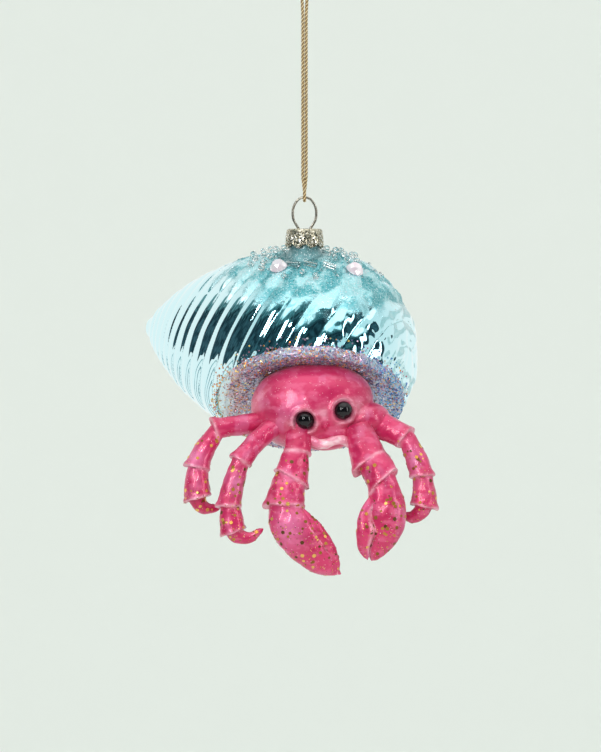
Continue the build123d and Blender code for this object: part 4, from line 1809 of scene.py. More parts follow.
    def mouth_coat(self) -> Thing:
        """Builds the bed of glitter over the lip and down into the mouth.

        Returns:
            The bed of glitter.
        """
        edge = self.edge()
        top = edge + 1.6
        ring = self.mouth_radius + 0.8
        profile: List[Span] = [(self.lip_outer - 0.1, edge - 0.4), (ring + 1.6, top - 1.0)]
        roll = np.linspace(0.0, 0.8 * math.pi, 13)
        profile += [(ring + 1.6 * math.cos(turn), top + 1.55 * math.sin(turn)) for turn in roll]
        profile += [
            (ring - 2.4, top + 0.6), (ring - 3.4, top + 0.7), (ring - 5.0, top + 0.6),
            (ring - 7.0, top + 0.2), (ring - 9.0, top - 0.5), (20.0, top - 1.2), (15.0, top - 1.8),
            (8.0, top - 2.2), (0.4, top - 2.4),
        ]
        middle, across, face, out = self.mouth_axes()
        around = self.coat_sides
        turns = full_turn(around)
        spokes = np.cos(turns)[:, None] * across + np.sin(turns)[:, None] * face
        rings = [middle + radius * spokes + height * out for radius, height in profile]
        points = np.concatenate(rings + [middle[None] + (top - 2.4) * out])
        faces = [tuple(reversed(quad)) for quad in ring_faces(len(rings), around, closed=False)]
        last = (len(rings) - 1) * around
        hub = len(rings) * around
        faces += [(last + side, hub, last + (side + 1) % around) for side in range(around)]
        coat = solid_object("mouth_coat", points, faces)
        hand_wobble(coat, height=0.35, grain=2.6, seed=8.0)
        return coat

    def lip_distance(self, places: np.ndarray) -> np.ndarray:
        """Measures how far places are from the lip's circle.

        Args:
            places: One row for each place, in millimetres.

        Returns:
            The distances in millimetres.
        """
        middle, across, face, out = self.mouth_axes()
        local = places - middle
        flat = np.hypot(local @ across, local @ face)
        return np.hypot(flat - self.mouth_radius - 1.0, local @ out - self.edge() - 1.2)

    def build(self) -> Thing:
        """Builds and dresses the shell and its glitter.

        Returns:
            The shell, which the trim is strewn over.
        """
        silver = SilveredShell()
        skin = self.skin()
        self.open_up(skin)
        neck = self.neck()
        coat = self.mouth_coat()
        for piece, finish in ((skin, silver), (neck, silver), (coat, MouthGlitter())):
            dressed(piece, finish.material())
            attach(piece, Body.GLASS.value)
        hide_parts("shell_glass")
        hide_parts("lip_glitter")
        self.glitter(skin, coat)
        LOG.info("shell with %d faces", len(skin.data.polygons))
        return skin

    def glitter(self, skin: Thing, coat: Thing) -> None:
        """Strews foil flakes over the lip and thinly over the shell beside it.

        Args:
            skin: The shell's outside.
            coat: The bed of glitter in the mouth.
        """
        flake = hexagon_flake("lip_flake")
        finish = LipFlakes(stops=LIP_TINTS, metallic=0.7, roughness=0.22).material()
        places = vertex_places(coat)
        thin = np.clip((places[:, 0] - self.thin_end) / self.thin_width, 0.12, 1.0)
        put_mask(coat, "lip", thin * np.clip(1.6 - self.lip_distance(places) / 9.0, 0.05, 1.0))
        thick = Scatter(
            "lip_flakes", density=2.5, smallest=0.5, largest=1.25, tilt=0.6, lift=0.02, seed=21, mask="lip"
        )
        band = thick.strew(coat, flake, finish)
        near = self.lip_distance(vertex_places(skin))
        put_mask(skin, "lip", np.clip(1.0 - (near - 1.5) / 7.0, 0.0, 1.0) ** 2.4)
        sparse = Scatter(
            "stray_flakes", density=1.6, smallest=0.4, largest=0.9, tilt=0.3, lift=0.03, seed=22, mask="lip"
        )
        stray = sparse.strew(skin, flake, finish)
        removed(flake)
        for piece in (band, stray):
            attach(piece, Body.GLASS.value)
        LOG.info("lip with %d and %d faces of glitter", len(band.data.polygons), len(stray.data.polygons))


@dataclass
class Limb:
    """One hollow limb: flared segments, each coming out of the cuff of the one before."""

    node: str
    segments: List[List[Station]]
    flat: float
    origin: Point
    seed: int
    leans: Tuple[float, ...] = (0.22, 0.22, 0.22)
    # Spots of painted highlight: across, back, up and reach.
    highlight_spots: Tuple[Station, ...] = ()
    rows: int = 30
    sides: int = 40
    least: float = 0.35
    swell: float = 0.07
    flare: float = 0.05
    tip_share: float = 0.06
    grain: float = 0.26
    softening: int = 3

    cuff_stations: ClassVar[int] = 3

    def clawed(self) -> bool:
        """Returns whether the limb ends in a claw, with a finger laid against it."""
        return len(self.segments[-2]) > self.cuff_stations

    def tube(self, number: int, stations: List[Station]) -> Thing:
        """Builds one segment as a closed tube with a flared, leaning cuff.

        Args:
            number: Which segment it is, from the body.
            stations: Across, back, up and radius, from the limbs' reference point.

        Returns:
            The segment's object.
        """
        cuffed = number < len(self.segments) - 1 and len(stations) == self.cuff_stations
        nodes = np.array(stations)
        knots = np.linspace(0.0, 1.0, len(nodes))
        spots = np.linspace(0.0, 1.0, self.rows)
        middle = np.stack([self.eased(knots, nodes[:, axis], spots) for axis in range(3)], axis=1)
        radius = np.maximum(self.eased(knots, nodes[:, 3], spots), self.least)
        if cuffed:
            radius *= 1.0 + self.swell * np.sin(np.pi * np.clip(spots / 0.85, 0.0, 1.0)) ** 2
            radius *= 1.0 + self.flare * np.exp(-(((spots - 0.95) / 0.05) ** 2))
        else:
            radius *= np.sqrt(np.clip((1.0 - spots) / self.tip_share, 0.05, 1.0))
        ahead = np.gradient(middle, axis=0)
        ahead /= np.linalg.norm(ahead, axis=1, keepdims=True)
        across = np.cross(np.array([0.0, 1.0, 0.0]), ahead)
        across /= np.linalg.norm(across, axis=1, keepdims=True)
        over = np.cross(ahead, across)
        rings = []
        outward = 1.0 if nodes[-1, 0] * across[-1, 0] >= 0 else -1.0
        for spoke in range(self.sides):
            angle = math.tau * spoke / self.sides
            push = middle + radius[:, None] * (math.cos(angle) * across + self.flat * math.sin(angle) * over)
            if cuffed:
                lean = self.leans[number] * outward * math.cos(angle) + 0.05 * math.sin(3.0 * angle)
                push = push + (radius * lean * np.clip((spots - 0.55) / 0.45, 0.0, 1.0) ** 2)[:, None] * ahead
            rings.append(push)
        points = np.stack(rings, axis=1).reshape(-1, 3)
        points = np.concatenate([points, middle[:1], middle[-1:]]) + np.array(self.origin)
        thing = solid_object(f"{self.node}_{number}", points, ring_faces(self.rows, self.sides))
        turn_outwards(thing)
        return thing

    def edges(self, skin: Thing) -> np.ndarray:
        """Finds the edges of the cuffs and of a claw's finger, where pale rim light is painted.

        Args:
            skin: The limb.

        Returns:
            How near each vertex is to such an edge, from 0 to 1.
        """
        places = vertex_places(skin) - np.array(self.origin)
        mask = np.zeros(len(places))
        for stations, lean in zip(self.segments[:-1], self.leans):
            if len(stations) > self.cuff_stations:
                continue
            nodes = np.array(stations)
            ahead = nodes[-1, :3] - nodes[-2, :3]
            ahead /= np.linalg.norm(ahead)
            across = np.cross(np.array([0.0, 1.0, 0.0]), ahead)
            across /= np.linalg.norm(across)
            outward = 1.0 if nodes[-1, 0] * across[0] >= 0 else -1.0
            local = places - nodes[-1, :3]
            along = local @ ahead
            round_it = np.linalg.norm(local - along[:, None] * ahead, axis=1)
            level = along - lean * outward * (local @ across)
            near = np.exp(-((level / 0.75) ** 2)) * np.clip((round_it / nodes[-1, 3] - 0.62) / 0.2, 0.0, 1.0)
            mask = np.maximum(mask, near * (round_it < 1.4 * nodes[-1, 3]))
        if self.clawed():
            nodes = np.array(self.segments[-1])
            down = nodes[::-1]
            columns = [np.interp(places[:, 2], down[:, 2], down[:, axis]) for axis in (0, 1, 3)]
            middle = np.stack(columns, axis=1)
            local = places[:, :2] - middle[:, :2]
            inner = local[:, 0] * (1.0 if nodes[0, 0] > 0 else -1.0) / middle[:, 2]
            held = (np.hypot(local[:, 0], local[:, 1]) < 1.25 * middle[:, 2]) & (places[:, 2] < nodes[0, 2])
            mask = np.maximum(mask, held * np.clip((inner - 0.35) / 0.4, 0.0, 1.0))
        return mask

    def painted_highlight(self, skin: Thing) -> np.ndarray:
        """Finds the spots of painted highlight, from the limb's listed spots: across, back, up and reach.

        Args:
            skin: The limb.

        Returns:
            How much painted highlight each vertex gets, from 0 to 1.
        """
        places = vertex_places(skin) - np.array(self.origin)
        mask = np.zeros(len(places))
        for x, y, z, reach in self.highlight_spots:
            away = np.linalg.norm((places - np.array((x, y, z))) * np.array((1.0, 1.0, 0.7)), axis=1)
            mask = np.maximum(mask, np.exp(-((away / reach) ** 2)))
        return mask

    @staticmethod
    def eased(knots: np.ndarray, values: np.ndarray, spots: np.ndarray) -> np.ndarray:
        """Runs a smooth line through values.

        Args:
            knots: Where the values are given, in rising order.
            values: The value at each knot.
            spots: Where the line is read.

        Returns:
            The line's value at each spot.
        """
        slopes = np.gradient(values, knots)
        place = np.clip(np.searchsorted(knots, spots, side="right") - 1, 0, len(knots) - 2)
        width = knots[place + 1] - knots[place]
        share = (spots - knots[place]) / width
        square, cube = share**2, share**3
        return (
            (2 * cube - 3 * square + 1) * values[place]
            + (cube - 2 * square + share) * width * slopes[place]
            + (3 * square - 2 * cube) * values[place + 1]
            + (cube - square) * width * slopes[place + 1]
        )

    def build(self, finish: Material) -> Thing:
        """Builds the limb as one skin, with a claw's finger laid against it.

        Args:
            finish: What the limb is made of.

        Returns:
            The limb.
        """
        tubes = [self.tube(i, run) for i, run in enumerate(self.segments)]
        if self.clawed():
            finger = fused(tubes.pop(), self.grain, self.softening)
            arm = fused(joined(self.node + "_arm", tubes), self.grain, self.softening)
            limb = joined(self.node + "_skin", [arm, finger])
        else:
            limb = fused(joined(self.node + "_skin", tubes), self.grain, self.softening)
        # Pale rim light is painted along these edges.
        put_mask(limb, "edge", self.edges(limb))
        put_mask(limb, "painted_highlight", self.painted_highlight(limb))
        hand_wobble(limb, height=0.3, grain=3.0, seed=float(self.seed))
        dressed(limb, finish)
        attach(limb, Body.GLASS.value)
        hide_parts(self.node)
        return limb


@dataclass
class Crab:
    """The pink crab: its body with jaw and eyelids, its bead eyes, its legs and claws."""

    centre: Point = (4.8, -18.3, -159.1)
    roll: float = 4.0
    width: float = 48.0
    depth: float = 31.0
    drop: float = 1.4
    leg_flat: float = 0.88
    claw_flat: float = 0.74
    socket_radius: float = 4.3
    socket_floor: float = 0.2
    socket_edge: float = 1.3
    socket_reach: float = 4.0
    rim_height: float = 0.5
    rim_width: float = 0.8
    # Strength of the highlight painted on the eye rims.
    rim_highlight: float = 0.7
    # Spots of painted highlight on the body: across, back, up, reach and strength.
    patches: Tuple[Tuple[float, float, float, float, float], ...] = (
        (-5.3, -12.5, -10.0, 3.6, 0.7), (1.8, -15.6, -2.3, 2.4, 0.7), (13.6, -12.0, -0.9, 3.2, 0.7),
        (9.7, -14.0, -7.0, 2.6, 0.6), (-20.0, -7.0, 1.2, 4.5, 0.5), (-10.0, -12.5, -6.0, 2.6, 0.5),
    )

    def limbs(self) -> List[Limb]:
        """Lists the six limbs with their stations.

        Returns:
            The limbs, not yet built.
        """
        origin = (self.centre[0], self.centre[1], self.centre[2] - self.drop)
        left_rear = [
            [(-16.0, -2.0, -4.0, 4.4), (-27.0, -6.0, -5.4, 3.4), (-37.0, -8.0, -6.6, 3.9)],
            [(-35.0, -7.8, -6.4, 2.8), (-40.0, -9.0, -14.0, 3.5), (-43.2, -10.0, -20.6, 4.6)],
            [(-42.4, -10.0, -18.4, 3.1), (-42.8, -10.2, -25.5, 4.1), (-42.5, -10.4, -31.4, 4.9)],
            [
                (-43.0, -10.3, -29.0, 3.2), (-42.2, -10.0, -32.6, 2.9),
                (-39.3, -9.0, -34.8, 2.2), (-34.3, -8.0, -34.6, 0.7),
            ],
        ]
        left_front = [
            [(-14.0, -7.5, -4.5, 3.8), (-22.0, -12.0, -11.5, 3.3), (-27.8, -14.0, -18.2, 4.0)],
            [(-26.8, -13.9, -16.2, 3.0), (-29.8, -15.0, -26.0, 3.6), (-31.8, -16.0, -34.3, 4.5)],
            [(-31.4, -15.9, -32.0, 3.0), (-30.6, -16.0, -38.2, 4.0), (-30.0, -16.0, -43.2, 4.7)],
            [
                (-30.4, -16.0, -40.8, 3.1), (-28.8, -16.2, -44.0, 2.8),
                (-24.2, -17.0, -45.0, 2.0), (-19.3, -17.5, -41.8, 0.7),
            ],
        ]
        left_claw = [
            [(-7.0, -9.5, -6.0, 4.4), (-7.0, -12.0, -11.0, 4.5), (-7.4, -14.0, -15.6, 4.9)],
            [(-7.6, -13.4, -13.4, 4.3), (-8.6, -15.6, -19.0, 5.0), (-9.6, -16.8, -24.4, 6.6)],
            [(-9.6, -16.0, -21.0, 4.8), (-10.8, -18.2, -28.0, 5.9), (-12.1, -19.5, -34.2, 7.4)],
            [
                (-12.0, -19.0, -30.2, 5.0), (-10.3, -20.0, -39.0, 7.2), (-5.2, -20.0, -46.3, 7.3),
                (1.5, -18.5, -53.4, 5.0), (8.0, -16.5, -57.8, 0.8),
            ],
            [
                (-7.0, -20.8, -35.5, 2.0), (-1.0, -21.6, -42.0, 2.7),
                (3.7, -20.2, -48.4, 2.3), (7.4, -17.5, -56.2, 0.7),
            ],
        ]
        right_claw = [
            [(14.0, -9.5, -6.0, 4.6), (16.2, -13.0, -12.5, 5.4), (17.9, -16.0, -19.2, 6.6)],
            [(18.0, -15.3, -16.2, 4.8), (21.0, -18.0, -21.0, 5.7), (23.2, -19.5, -25.4, 6.4)],
            [
                (22.4, -19.2, -22.8, 4.6), (24.0, -20.0, -34.5, 6.8), (23.4, -20.0, -42.0, 6.3),
                (20.8, -19.0, -48.6, 3.9), (18.6, -18.0, -53.2, 0.9),
            ],
            [
                (20.0, -20.4, -29.5, 1.3), (16.4, -22.6, -36.3, 1.9), (16.6, -23.4, -42.7, 3.3),
                (16.0, -21.6, -48.1, 2.2), (17.5, -19.4, -53.0, 0.6),
            ],
        ]
        right_rear = [
            [(13.0, -2.0, -2.5, 6.4), (23.5, -5.0, -6.2, 4.6), (31.2, -8.0, -10.0, 4.4)],
            [(30.2, -7.6, -7.8, 2.9), (34.3, -9.0, -16.5, 3.6), (36.8, -10.0, -23.7, 4.5)],
            [(36.3, -9.9, -21.4, 2.9), (37.4, -10.2, -28.5, 4.0), (37.5, -10.4, -34.3, 5.0)],
            [
                (37.7, -10.3, -32.0, 3.2), (36.6, -10.0, -35.6, 2.8),
                (33.2, -9.4, -37.8, 2.2), (29.3, -9.0, -37.0, 0.7),
            ],
        ]
        right_front = [
            [(15.0, -2.0, -6.5, 3.4), (19.5, -4.0, -13.0, 2.9), (22.5, -4.0, -18.2, 3.3)],
            [(22.0, -4.0, -16.2, 2.7), (23.0, -3.5, -24.0, 3.2), (22.6, -3.0, -30.8, 3.8)],
            [(22.7, -3.0, -28.6, 2.5), (22.0, -2.5, -34.5, 3.3), (21.3, -2.0, -39.2, 3.9)],
            [
                (21.6, -2.0, -37.0, 2.5), (20.4, -2.0, -40.4, 2.2),
                (18.0, -2.0, -42.0, 1.6), (15.2, -2.0, -41.0, 0.6),
            ],
        ]
        leg, claw = self.leg_flat, self.claw_flat
        plain = (0.22, 0.22, 0.22)
        # The spots given last to some limbs are painted highlights.
        return [
            Limb("left_rear_leg", left_rear, leg, origin, 1, plain, ((-43.5, -13.0, -16.5, 3.4),)),
            Limb("left_front_leg", left_front, leg, origin, 2, plain, ((-28.5, -19.0, -25.5, 3.4),)),
            Limb("left_claw", left_claw, claw, origin, 3, (0.0, -0.35, 0.2), ((-10.0, -25.0, -41.0, 5.6),)),
            Limb("right_claw", right_claw, claw, origin, 4, (-0.4, -0.3, 0.0)),
            Limb("right_rear_leg", right_rear, leg, origin, 5, plain, ((33.5, -12.5, -17.0, 3.2),)),
            Limb("right_front_leg", right_front, leg, origin, 6, plain),
        ]

    def lump(self, place: Point, half: Point, fullness: float = 2.0) -> Thing:
        """Builds a rounded lump at a place from the body's centre.

        Args:
            place: Across, back and up.
            half: Half sizes the same way.
            fullness: 2 is an ellipsoid, more is squarer.

        Returns:
            The lump's object.
        """
        rings, around = 48, 72
        tilt = np.linspace(0.0, math.pi, rings + 2)[1:-1]
        high, turn = np.meshgrid(tilt, full_turn(around), indexing="ij")
        ball = np.stack([np.cos(high), np.sin(high) * np.cos(turn), np.sin(high) * np.sin(turn)], axis=-1)
        swell = (np.abs(ball) ** fullness).sum(axis=-1, keepdims=True) ** (-1.0 / fullness)
        points = (ball * swell * np.array(half)).reshape(-1, 3)
        ends = np.array([[half[0], 0.0, 0.0], [-half[0], 0.0, 0.0]])
        points = np.concatenate([points, ends]) + np.array(place)
        thing = solid_object("lump", self.rolled(points), ring_faces(rings, around))
        turn_outwards(thing)
        return thing

    def rolled(self, points: np.ndarray) -> np.ndarray:
        """Turns places from the body's centre into places in the frame.

        Args:
            points: Across, back and up in millimetres, one row each.

        Returns:
            The places in the frame, in millimetres.
        """
        turn = math.radians(-self.roll)
        about = np.array([
            [math.cos(turn), 0.0, math.sin(turn)], [0.0, 1.0, 0.0], [-math.sin(turn), 0.0, math.cos(turn)],
        ])
        return points @ about.T + np.array(self.centre)

    def highlight_mask(self, skin: Thing) -> np.ndarray:
        """Finds the patches of painted highlight on the lacquer.

        Args:
            skin: The body.

        Returns:
            How pale each vertex is, from 0 to 1.
        """
        places = vertex_places(skin) - np.array(self.centre)
        pale = np.zeros(len(places))
        for x, y, z, reach, strength in self.patches:
            away = np.linalg.norm(places - np.array((x, y, z)), axis=1)
            pale = np.maximum(pale, strength * np.exp(-((away / reach) ** 2)))
        return pale

    def socket(self, skin: Thing, node: str) -> np.ndarray:
        """Presses the socket of an eye bead into the skin and raises a rim round it, with a painted highlight
        on the rim.

        Args:
            skin: The body.
            node: The eye's node.

        Returns:
            How much painted highlight each vertex gets, from 0 to 1.
        """
        low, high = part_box(node)
        eye = np.array((low + high) / 2) / MM
        root = np.array(self.centre)
        root[0] += 0.55 * (eye[0] - root[0])
        out = (eye - root) / np.linalg.norm(eye - root)
        places = vertex_places(skin)
        local = places - eye
        depth = local @ out
        away = np.linalg.norm(local - depth[:, None] * out, axis=1)
        near = depth > -self.socket_reach
        ease = np.clip((self.socket_radius - away) / self.socket_edge, 0.0, 1.0)
        sink = np.maximum(depth - self.socket_floor, 0.0) * ease * ease * (3.0 - 2.0 * ease)
        rim = self.rim_height * np.exp(-(((away - self.socket_radius - 0.5) / self.rim_width) ** 2))
        places = places + np.where(near, rim - sink, 0.0)[:, None] * out
        set_places(skin, places)
        return np.where(near, self.rim_highlight * np.exp(-((away - self.socket_radius) ** 2)), 0.0)

    def jaw_frill(self) -> Thing:
        """Builds the wavy pale edge of the jaw.

        Returns:
            The edge.
        """
        stations = [
            (-5.0, -9.5, -9.8, 1.0), (-3.0, -11.4, -11.6, 1.6), (-0.4, -12.4, -13.2, 1.7),
            (2.6, -12.6, -13.4, 1.8), (5.6, -12.4, -12.2, 1.6), (8.4, -11.8, -12.0, 1.6),
            (10.8, -10.6, -13.4, 1.4), (12.8, -10.4, -15.6, 0.9),
        ]
        frill = Limb("jaw_frill", [stations], flat=0.75, origin=self.centre, seed=9).tube(0, stations)
        frill = fused(frill, voxel=0.22, rounds=4)
        hand_wobble(frill, height=0.3, grain=2.2, seed=5.0)
        frill.name = "jaw_frill"
        dressed(frill, PaleLip().material())
        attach(frill, Body.GLASS.value)
        return frill

    def body(self, finish: Material) -> Thing:
        """Builds the body as one skin.

        Args:
            finish: What the body is made of.

        Returns:
            The body.
        """
        half = self.depth / 2
        forms = [
            self.lump((-2.0, 0.0, 0.0), (self.width / 2 - 2.2, half, half), fullness=2.15),
            self.lump((0.0, 6.0, 2.0), (19.0, 13.5, 13.5)),
            self.lump((16.5, -3.0, -6.0), (8.5, 8.5, 6.5)),
            self.lump((2.5, -7.0, -10.5), (10.5, 5.5, 5.5)),
            self.lump((1.9, -13.6, -5.4), (1.5, 1.6, 3.2)),
        ]
        body = fused(joined("crab_skin", forms), voxel=0.34, rounds=8)
        hand_wobble(body, height=0.35, grain=7.0, seed=12.0)
        # Painted highlights on the body's pale patches and eye rims.
        pale = self.highlight_mask(body)
        for node in ("left_eye", "right_eye"):
            pale = np.maximum(pale, self.socket(body, node))
        put_mask(body, "edge", pale)
        dressed(body, finish)
        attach(body, Body.GLASS.value)
        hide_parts("crab_body")
        return body

    def build(self) -> None:
        """Builds and dresses the crab."""
        pink = PearlPink().material()
        body = self.body(pink)
        frill = self.jaw_frill()
        LOG.info("body with %d faces and jaw with %d", len(body.data.polygons), len(frill.data.polygons))
        flake = hexagon_flake("gold_flake", thick=0.06)
        gold = TintedFlakes("gold_flakes", GOLD_TINTS, metallic=0.6, roughness=0.3).material()
        for limb in self.limbs():
            skin = limb.build(pink)
            places = vertex_places(skin)
            cuff = np.array(limb.segments[1][0][:3]) + np.array(limb.origin)
            past = np.clip((cuff[2] - places[:, 2]) / 5.0, 0.0, 1.0)
            put_mask(skin, "flecked", past)
            coarse = Scatter(
                limb.node + "_flecks",
                density=0.085, smallest=0.7, largest=1.6, tilt=0.12, lift=0.0,
                seed=40 + limb.seed, mask="flecked",
            )
            flecks = coarse.strew(skin, flake, gold)
            tip = places[:, 2].min()
            low = np.clip(1.0 - (places[:, 2] - tip) / (cuff[2] - tip), 0.12, 1.0)
            put_mask(skin, "dusted", past * low**1.5)
            fine = Scatter(
                limb.node + "_dust",
                density=0.5, smallest=0.22, largest=0.5, tilt=0.2, lift=0.0,
                seed=60 + limb.seed, mask="dusted",
            )
            dust = fine.strew(skin, flake, gold)
            for pieces in (flecks, dust):
                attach(pieces, Body.GLASS.value)
            counts = [len(piece.data.polygons) for piece in (skin, flecks)]
            LOG.info("%s with %d faces and %d of flecks", limb.node, *counts)
        removed(flake)
        for node in ("left_eye", "right_eye"):
            dressed(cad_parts[node], BlackBead().material())


@dataclass
class Trim:
    """Stones, tube beads, seed beads and sugar frost glued round the neck."""

    crown: Point = (6.0, 6.0, -104.0)
    frost_reach: float = 35.0
    inside: Point = (3.6, 8.2, -140.05)
    bead: float = 2.2
    stone: float = 6.5
    stone_height: float = 2.6
    stone_table: float = 3.8
    facets: int = 8
    bare_radius: float = 6.5
    drift: float = 6.0
    frost_edge: float = 7.0
    grain_reach: float = 27.0
    grain_edge: float = 8.0
    grain_floor: float = -117.0

    def islands(self, node: str) -> List[np.ndarray]:
        """Takes a node apart into its separate solids.

        Args:
            node: The node's name.

        Returns:
            The vertices of each solid, in millimetres.
        """
        work = bmesh.new()
        work.from_mesh(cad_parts[node].data)
        bmesh.ops.remove_doubles(work, verts=work.verts, dist=1e-6)
        work.verts.ensure_lookup_table()
        seen = set()
        found = []
        for start in work.verts:
            if start.index in seen:
                continue
            seen.add(start.index)
            queue, members = [start], []
            while queue:
                vertex = queue.pop()
                members.append(vertex.co[:])
                for edge in vertex.link_edges:
                    other = edge.other_vert(vertex)
                    if other.index not in seen:
                        seen.add(other.index)
                        queue.append(other)
            found.append(np.array(members) / MM)
        work.free()
        return found

    def cut_stone(self, number: int, corners: np.ndarray) -> Thing:
        """Cuts a flat-backed stone where a plain one sits.

        Args:
            number: Which stone it is.
            corners: The plain stone's corners, in millimetres.

        Returns:
            The faceted stone.
        """
        middle = corners.mean(axis=0)
        _, _, ways = np.linalg.svd(corners - middle)
        up = ways[2] if np.dot(ways[2], middle - np.array(self.inside)) > 0 else -ways[2]
        base = middle + up * ((corners - middle) @ up).min()
        flat = (corners - base) - np.outer((corners - base) @ up, up)
        first = flat[np.argmax(np.linalg.norm(flat, axis=1))]
        first = first / np.linalg.norm(first)
        second = np.cross(up, first)
        sides = 2 * self.facets

        def ring(radius: float, height: float, count: int, shift: float) -> List[np.ndarray]:
            """Corners of one tier of the stone."""
            turns = [math.tau * (step + shift) / count for step in range(count)]
            return [base + height * up + radius * (math.cos(t) * first + math.sin(t) * second) for t in turns]

        half = self.stone / 2
        tiers = [ring(0.9 * half, 0.0, sides, 0.0), ring(half, 0.35, sides, 0.0), ring(half, 0.6, sides, 0.0)]
        waist = ring(0.82 * half, 0.62 * self.stone_height, self.facets, 0.5)
        table = ring(self.stone_table / 2, self.stone_height, self.facets, 0.0)
        points = np.array([point for tier in (*tiers, waist, table) for point in tier])
        girdle, mid, top = 2 * sides, 3 * sides, 3 * sides + self.facets
        faces: List[Tuple[int, ...]] = [tuple(reversed(range(sides)))]
        for tier in range(2):
            for side in range(sides):
                after = (side + 1) % sides
                start = tier * sides
                faces.append((start + side, start + after, start + sides + after, start + sides + side))
        for facet in range(self.facets):
            after = (facet + 1) % self.facets
            faces.append((girdle + 2 * facet, girdle + 2 * facet + 1, mid + facet))
            faces.append((girdle + 2 * facet + 1, girdle + (2 * facet + 2) % sides, mid + facet))
            faces.append((mid + facet, girdle + (2 * facet + 2) % sides, mid + after, top + after))
            faces.append((mid + facet, top + after, top + facet))
        faces.append(tuple(range(top, top + self.facets)))
        stone = solid_object(f"cut_stone{number}", points, faces, smooth=False)
        turn_outwards(stone)
        return stone

    def drilled_bead(self) -> Thing:
        """Makes a pressed seed bead with its hole, about the origin.

        Returns:
            The bead.
        """
        hole, wide, tall = 0.36, 0.5 * self.bead, 0.4 * self.bead
        ring, around = 9, 12
        spread = (wide - hole) / 2
        points = []
        faces = []
        for step in range(around):
            turn = math.tau * step / around
            for spoke in range(ring):
                angle = math.tau * spoke / ring
                radius = (wide + hole) / 2 + spread * math.cos(angle)
                points.append((radius * math.cos(turn), radius * math.sin(turn), tall * math.sin(angle)))
                here, ahead, after = step * ring, (step + 1) % around * ring, (spoke + 1) % ring
                faces.append((here + spoke, ahead + spoke, ahead + after, here + after))
        bead = solid_object("drilled_bead", np.array(points), faces)
        turn_outwards(bead)
        return bead

    def build(self, skin: Thing) -> None:
        """Cuts the stones, sets the beads and strews the frost.

        Args:
            skin: The shell that the frost lies on.
        """
        stones = [self.cut_stone(i, corners) for i, corners in enumerate(self.islands("rhinestones"))]
        gems = dressed(joined("cut_stones", stones), FoiledStone().material())
        bead = self.drilled_bead()
        solids = self.islands("seed_beads")
        centres = np.array([(solid.min(axis=0) + solid.max(axis=0)) / 2 for solid in solids])
        threading = Threading("seed_glass", smallest=0.94, largest=1.04, seed=52)
        beads = threading.set_beads(centres, bead, ClearCrystal().material())
        removed(bead)
        for piece, node in ((gems, "rhinestones"), (beads, "seed_beads")):
            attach(piece, Body.GLASS.value)
            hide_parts(node)
        dressed(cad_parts["bugle_beads"], ClearCrystal().material())
        LOG.info("%d stones and %d beads", len(stones), len(centres))
        self.frost(skin)

    def frost(self, skin: Thing) -> None:
        """Strews sugar crystals and small clear grains over the shell's crown.

        Args:
            skin: The shell that the frost lies on.
        """
        places = vertex_places(skin)
        away = np.linalg.norm(places - np.array(self.crown), axis=1)
        clear = np.hypot(places[:, 0], places[:, 1]) > self.bare_radius
        reach = self.frost_reach + self.drift * waves_at(places, self.drift)
        put_mask(skin, "frost", np.where(clear, np.clip((reach - away) / self.frost_edge, 0.0, 1.0), 0.0))
        grain = sugar_crystal("sugar_grain")
        snow = FrostGrains(stops=FROST_TINTS, metallic=0.2, roughness=0.16).material()
        fine = Scatter(
            "sugar_frost",
            density=1.7, smallest=0.25, largest=0.62, tilt=1.2, lift=0.05, seed=31, mask="frost",
        )
        sugar = fine.strew(skin, grain, snow)
        high = clear & (places[:, 2] > self.grain_floor)
        near = np.clip((self.grain_reach - away) / self.grain_edge, 0.0, 1.0)
        put_mask(skin, "crystals", np.where(high, near, 0.0))
        glass = ClearCrystal("clear_grain", rgb(248, 250, 250), grain=0.5).material()
        coarse = Scatter(
            "crystal_grains",
            density=0.055, smallest=0.9, largest=1.7, tilt=1.5, lift=0.35, seed=33, mask="crystals",
        )
        crystals = coarse.strew(skin, grain, glass)
        removed(grain)
        for piece in (sugar, crystals):
            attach(piece, Body.GLASS.value)
        LOG.info("frost with %d and %d faces", len(sugar.data.polygons), len(crystals.data.polygons))


